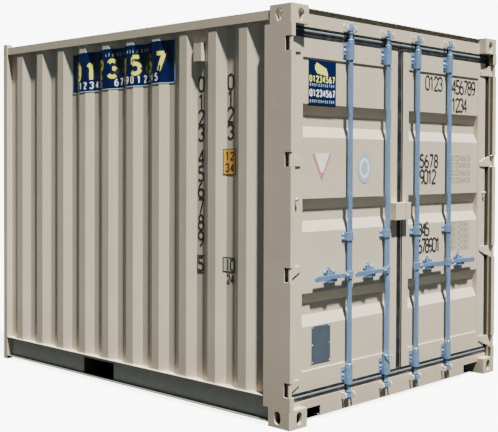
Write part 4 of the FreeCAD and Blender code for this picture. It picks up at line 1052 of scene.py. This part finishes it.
def add_door_numbers():
    """Black and faded numbers on the right door, in the rows that such doors carry."""
    items = [("0123", 0.325, 2.158, 0.098, 0.013, 0.056), ("456789", 0.678, 2.150, 0.100, 0.014, 0.0555),
             ("0", 1.082, 2.160, 0.082, 0.011, 0), ("1234", 0.678, 2.016, 0.098, 0.014, 0.053),
             ("5678", 0.262, 1.598, 0.090, 0.015, 0.061), ("9012", 0.262, 1.482, 0.097, 0.015, 0.051),
             ("345", 0.242, 1.106, 0.090, 0.015, 0.047), ("678901", 0.242, 0.985, 0.096, 0.015, 0.047)]
    numbers("door_numbers", on_door, items, STENCIL, *RIGHT_PAINT)
    frame_strips("door_number_box", on_door, 1.070, 1.134, 2.146, 2.258, 0.006, STENCIL, *RIGHT_PAINT, LIFT)
    faded = [("012345678", 0.678, z, 0.036, 0.0085, 0.030) for z in (1.652, 1.597, 1.541, 1.486)]
    faded += [("901234567", 0.678, z, 0.034, 0.0085, 0.030) for z in (1.158, 1.113, 1.068, 1.023, 0.978)]
    numbers("faded_door_numbers", on_door, faded, FAINT, *RIGHT_PAINT)


add_wall_sign()
add_wall_numbers()
add_door_sign()
add_triangle()
add_round_sticker()
add_door_numbers()


# ------------------------------------------------------------------ small loose details
def add_wire_clip():
    """A twist of wire that hangs on the left inner rod above its lower bearing: two arms, then one tail."""
    x, y, _ = joint_at("left_door_inner_rod_turn")
    front = LOW[1] + 0.005
    knot = (x + 0.004, front, 0.262)
    arms = [[(x - 0.026, y, 0.333), (x - 0.025, front, 0.322), (x - 0.012, front, 0.290), knot],
            [(x + 0.027, y, 0.327), (x + 0.026, front, 0.318), (x + 0.016, front, 0.288), knot]]
    turn = np.linspace(0, math.pi, 20)
    loop = np.stack([x + 0.027 * np.cos(turn), y + 0.02 * np.sin(turn), np.linspace(0.327, 0.333, 20)], 1)
    t = np.linspace(0, 1, 24)[:, None]
    straight = np.array(knot) * (1 - t) + np.array((x + 0.001, front, 0.198)) * t
    tail = straight + np.array([0.003, 0, 0]) * np.sin(math.pi * t)
    tubes("seal_wire", arms + [loop, tail], 0.0028, BRIGHT_ZINC, "left_door", "galvanised", 0.004)


add_wire_clip()


# ------------------------------------------------------------------ floor, light and camera
FLOOR_REACH = 40.0
DIM_FLOOR = (0.014, 0.015, 0.017, 1)
FLOOR_GLOW = 6.0
SUN_STRENGTH = 13.5
SUN_SPREAD = 3
SUN_COLOUR = (1.0, 0.955, 0.87)
SUN_FROM = (-0.175, -0.42, 1.0)
SKY_COLOUR = (0.55, 0.8, 1.0, 1)
SKY_STRENGTH = 0.16
SURROUND_STRENGTH = 9.0
CAMERA_PLACE = (-5.642, -5.402, 1.622)
CAMERA_ANGLES = (45.72, -1.13, 0.21)
CAMERA_LENS = 70.18
CAMERA_SHIFT = (0.0309, -0.0673)


def floor_finish():
    """Pale to the camera outside the container's foot, and dim to every other ray, as shade under it."""
    material, tree, shader, vector = new_material("pale floor", Roughness=0.9)
    seen = add(tree, "ShaderNodeLightPath").outputs["Is Camera Ray"]
    pale = mixed(tree, noise(tree, vector, 3.0), (0.8, 0.8, 0.8, 1), (0.84, 0.84, 0.84, 1))
    x, y = (size_of(tree, axis_of(tree, vector, axis)) for axis in "XY")
    across = ranged(tree, x, HIGH[0] - 0.10, HIGH[0] - 0.07)
    along = ranged(tree, y, HIGH[1] - 0.13, HIGH[1] - 0.10)
    lit = times(tree, seen, maths(tree, "MAXIMUM", across, along))
    tree.links.new(mixed(tree, lit, DIM_FLOOR, pale), shader.inputs["Base Color"])
    shader.inputs["Emission Color"].default_value = (1, 1, 1, 1)
    tree.links.new(times(tree, lit, FLOOR_GLOW), shader.inputs["Emission Strength"])
    return material


def add_floor():
    """The plain floor: one large square."""
    r = FLOOR_REACH
    mesh = bpy.data.meshes.new("studio_floor")
    mesh.from_pydata([(-r, -r, 0), (r, -r, 0), (r, r, 0), (-r, r, 0)], [], [(0, 1, 2, 3)])
    mesh.materials.append(floor_finish())
    floor = bpy.data.objects.new("studio_floor", mesh)
    bpy.context.scene.collection.objects.link(floor)
    floor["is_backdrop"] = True


def add_light():
    """A strong high light from the front left, and a dim sky that the camera sees as an even white."""
    sun = bpy.data.lights.new("high_light", "SUN")
    sun.energy = SUN_STRENGTH
    sun.angle = math.radians(SUN_SPREAD)
    sun.color = SUN_COLOUR
    lamp = bpy.data.objects.new("high_light", sun)
    up = np.array(SUN_FROM) / np.linalg.norm(SUN_FROM)
    right = np.cross([0, 1, 0], up)
    right /= np.linalg.norm(right)
    lamp.matrix_world = Matrix(np.column_stack([right, np.cross(up, right), up]).tolist()).to_4x4()
    bpy.context.scene.collection.objects.link(lamp)
    world = bpy.data.worlds.new("surround")
    world.use_nodes = True
    tree = world.node_tree
    sky = tree.nodes["Background"]
    feed(tree, sky, {"Color": SKY_COLOUR, "Strength": SKY_STRENGTH})
    white = add(tree, "ShaderNodeBackground", {"Color": (1, 1, 1, 1), "Strength": SURROUND_STRENGTH})
    seen = add(tree, "ShaderNodeLightPath").outputs["Is Camera Ray"]
    blend = add(tree, "ShaderNodeMixShader", {0: seen, 1: sky.outputs[0], 2: white.outputs[0]})
    tree.links.new(blend.outputs[0], tree.nodes["World Output"].inputs["Surface"])
    bpy.context.scene.world = world


def add_camera():
    """The camera, turned by its bearing, tilt and roll."""
    bearing, tilt, roll = (math.radians(angle) for angle in CAMERA_ANGLES)
    ahead = np.array([math.sin(bearing) * math.cos(tilt), math.cos(bearing) * math.cos(tilt), math.sin(tilt)])
    level = np.array([math.cos(bearing), -math.sin(bearing), 0.0])
    above = np.cross(level, ahead)
    right = math.cos(roll) * level + math.sin(roll) * above
    up = math.cos(roll) * above - math.sin(roll) * level
    data = bpy.data.cameras.new("camera")
    data.lens = CAMERA_LENS
    data.sensor_width = 36.0
    data.sensor_fit = "HORIZONTAL"
    data.shift_x, data.shift_y = CAMERA_SHIFT
    camera = bpy.data.objects.new("camera", data)
    turned_axes = Matrix(np.column_stack([right, up, -ahead]).tolist()).to_4x4()
    turned_axes.translation = CAMERA_PLACE
    camera.matrix_world = turned_axes
    bpy.context.scene.collection.objects.link(camera)
    bpy.context.scene.camera = camera


add_floor()
add_light()
add_camera()

boxes = {"cad": CAD_BOX, "visual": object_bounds()}
{name: [list(corner) for corner in box] for name, box in boxes.items()}
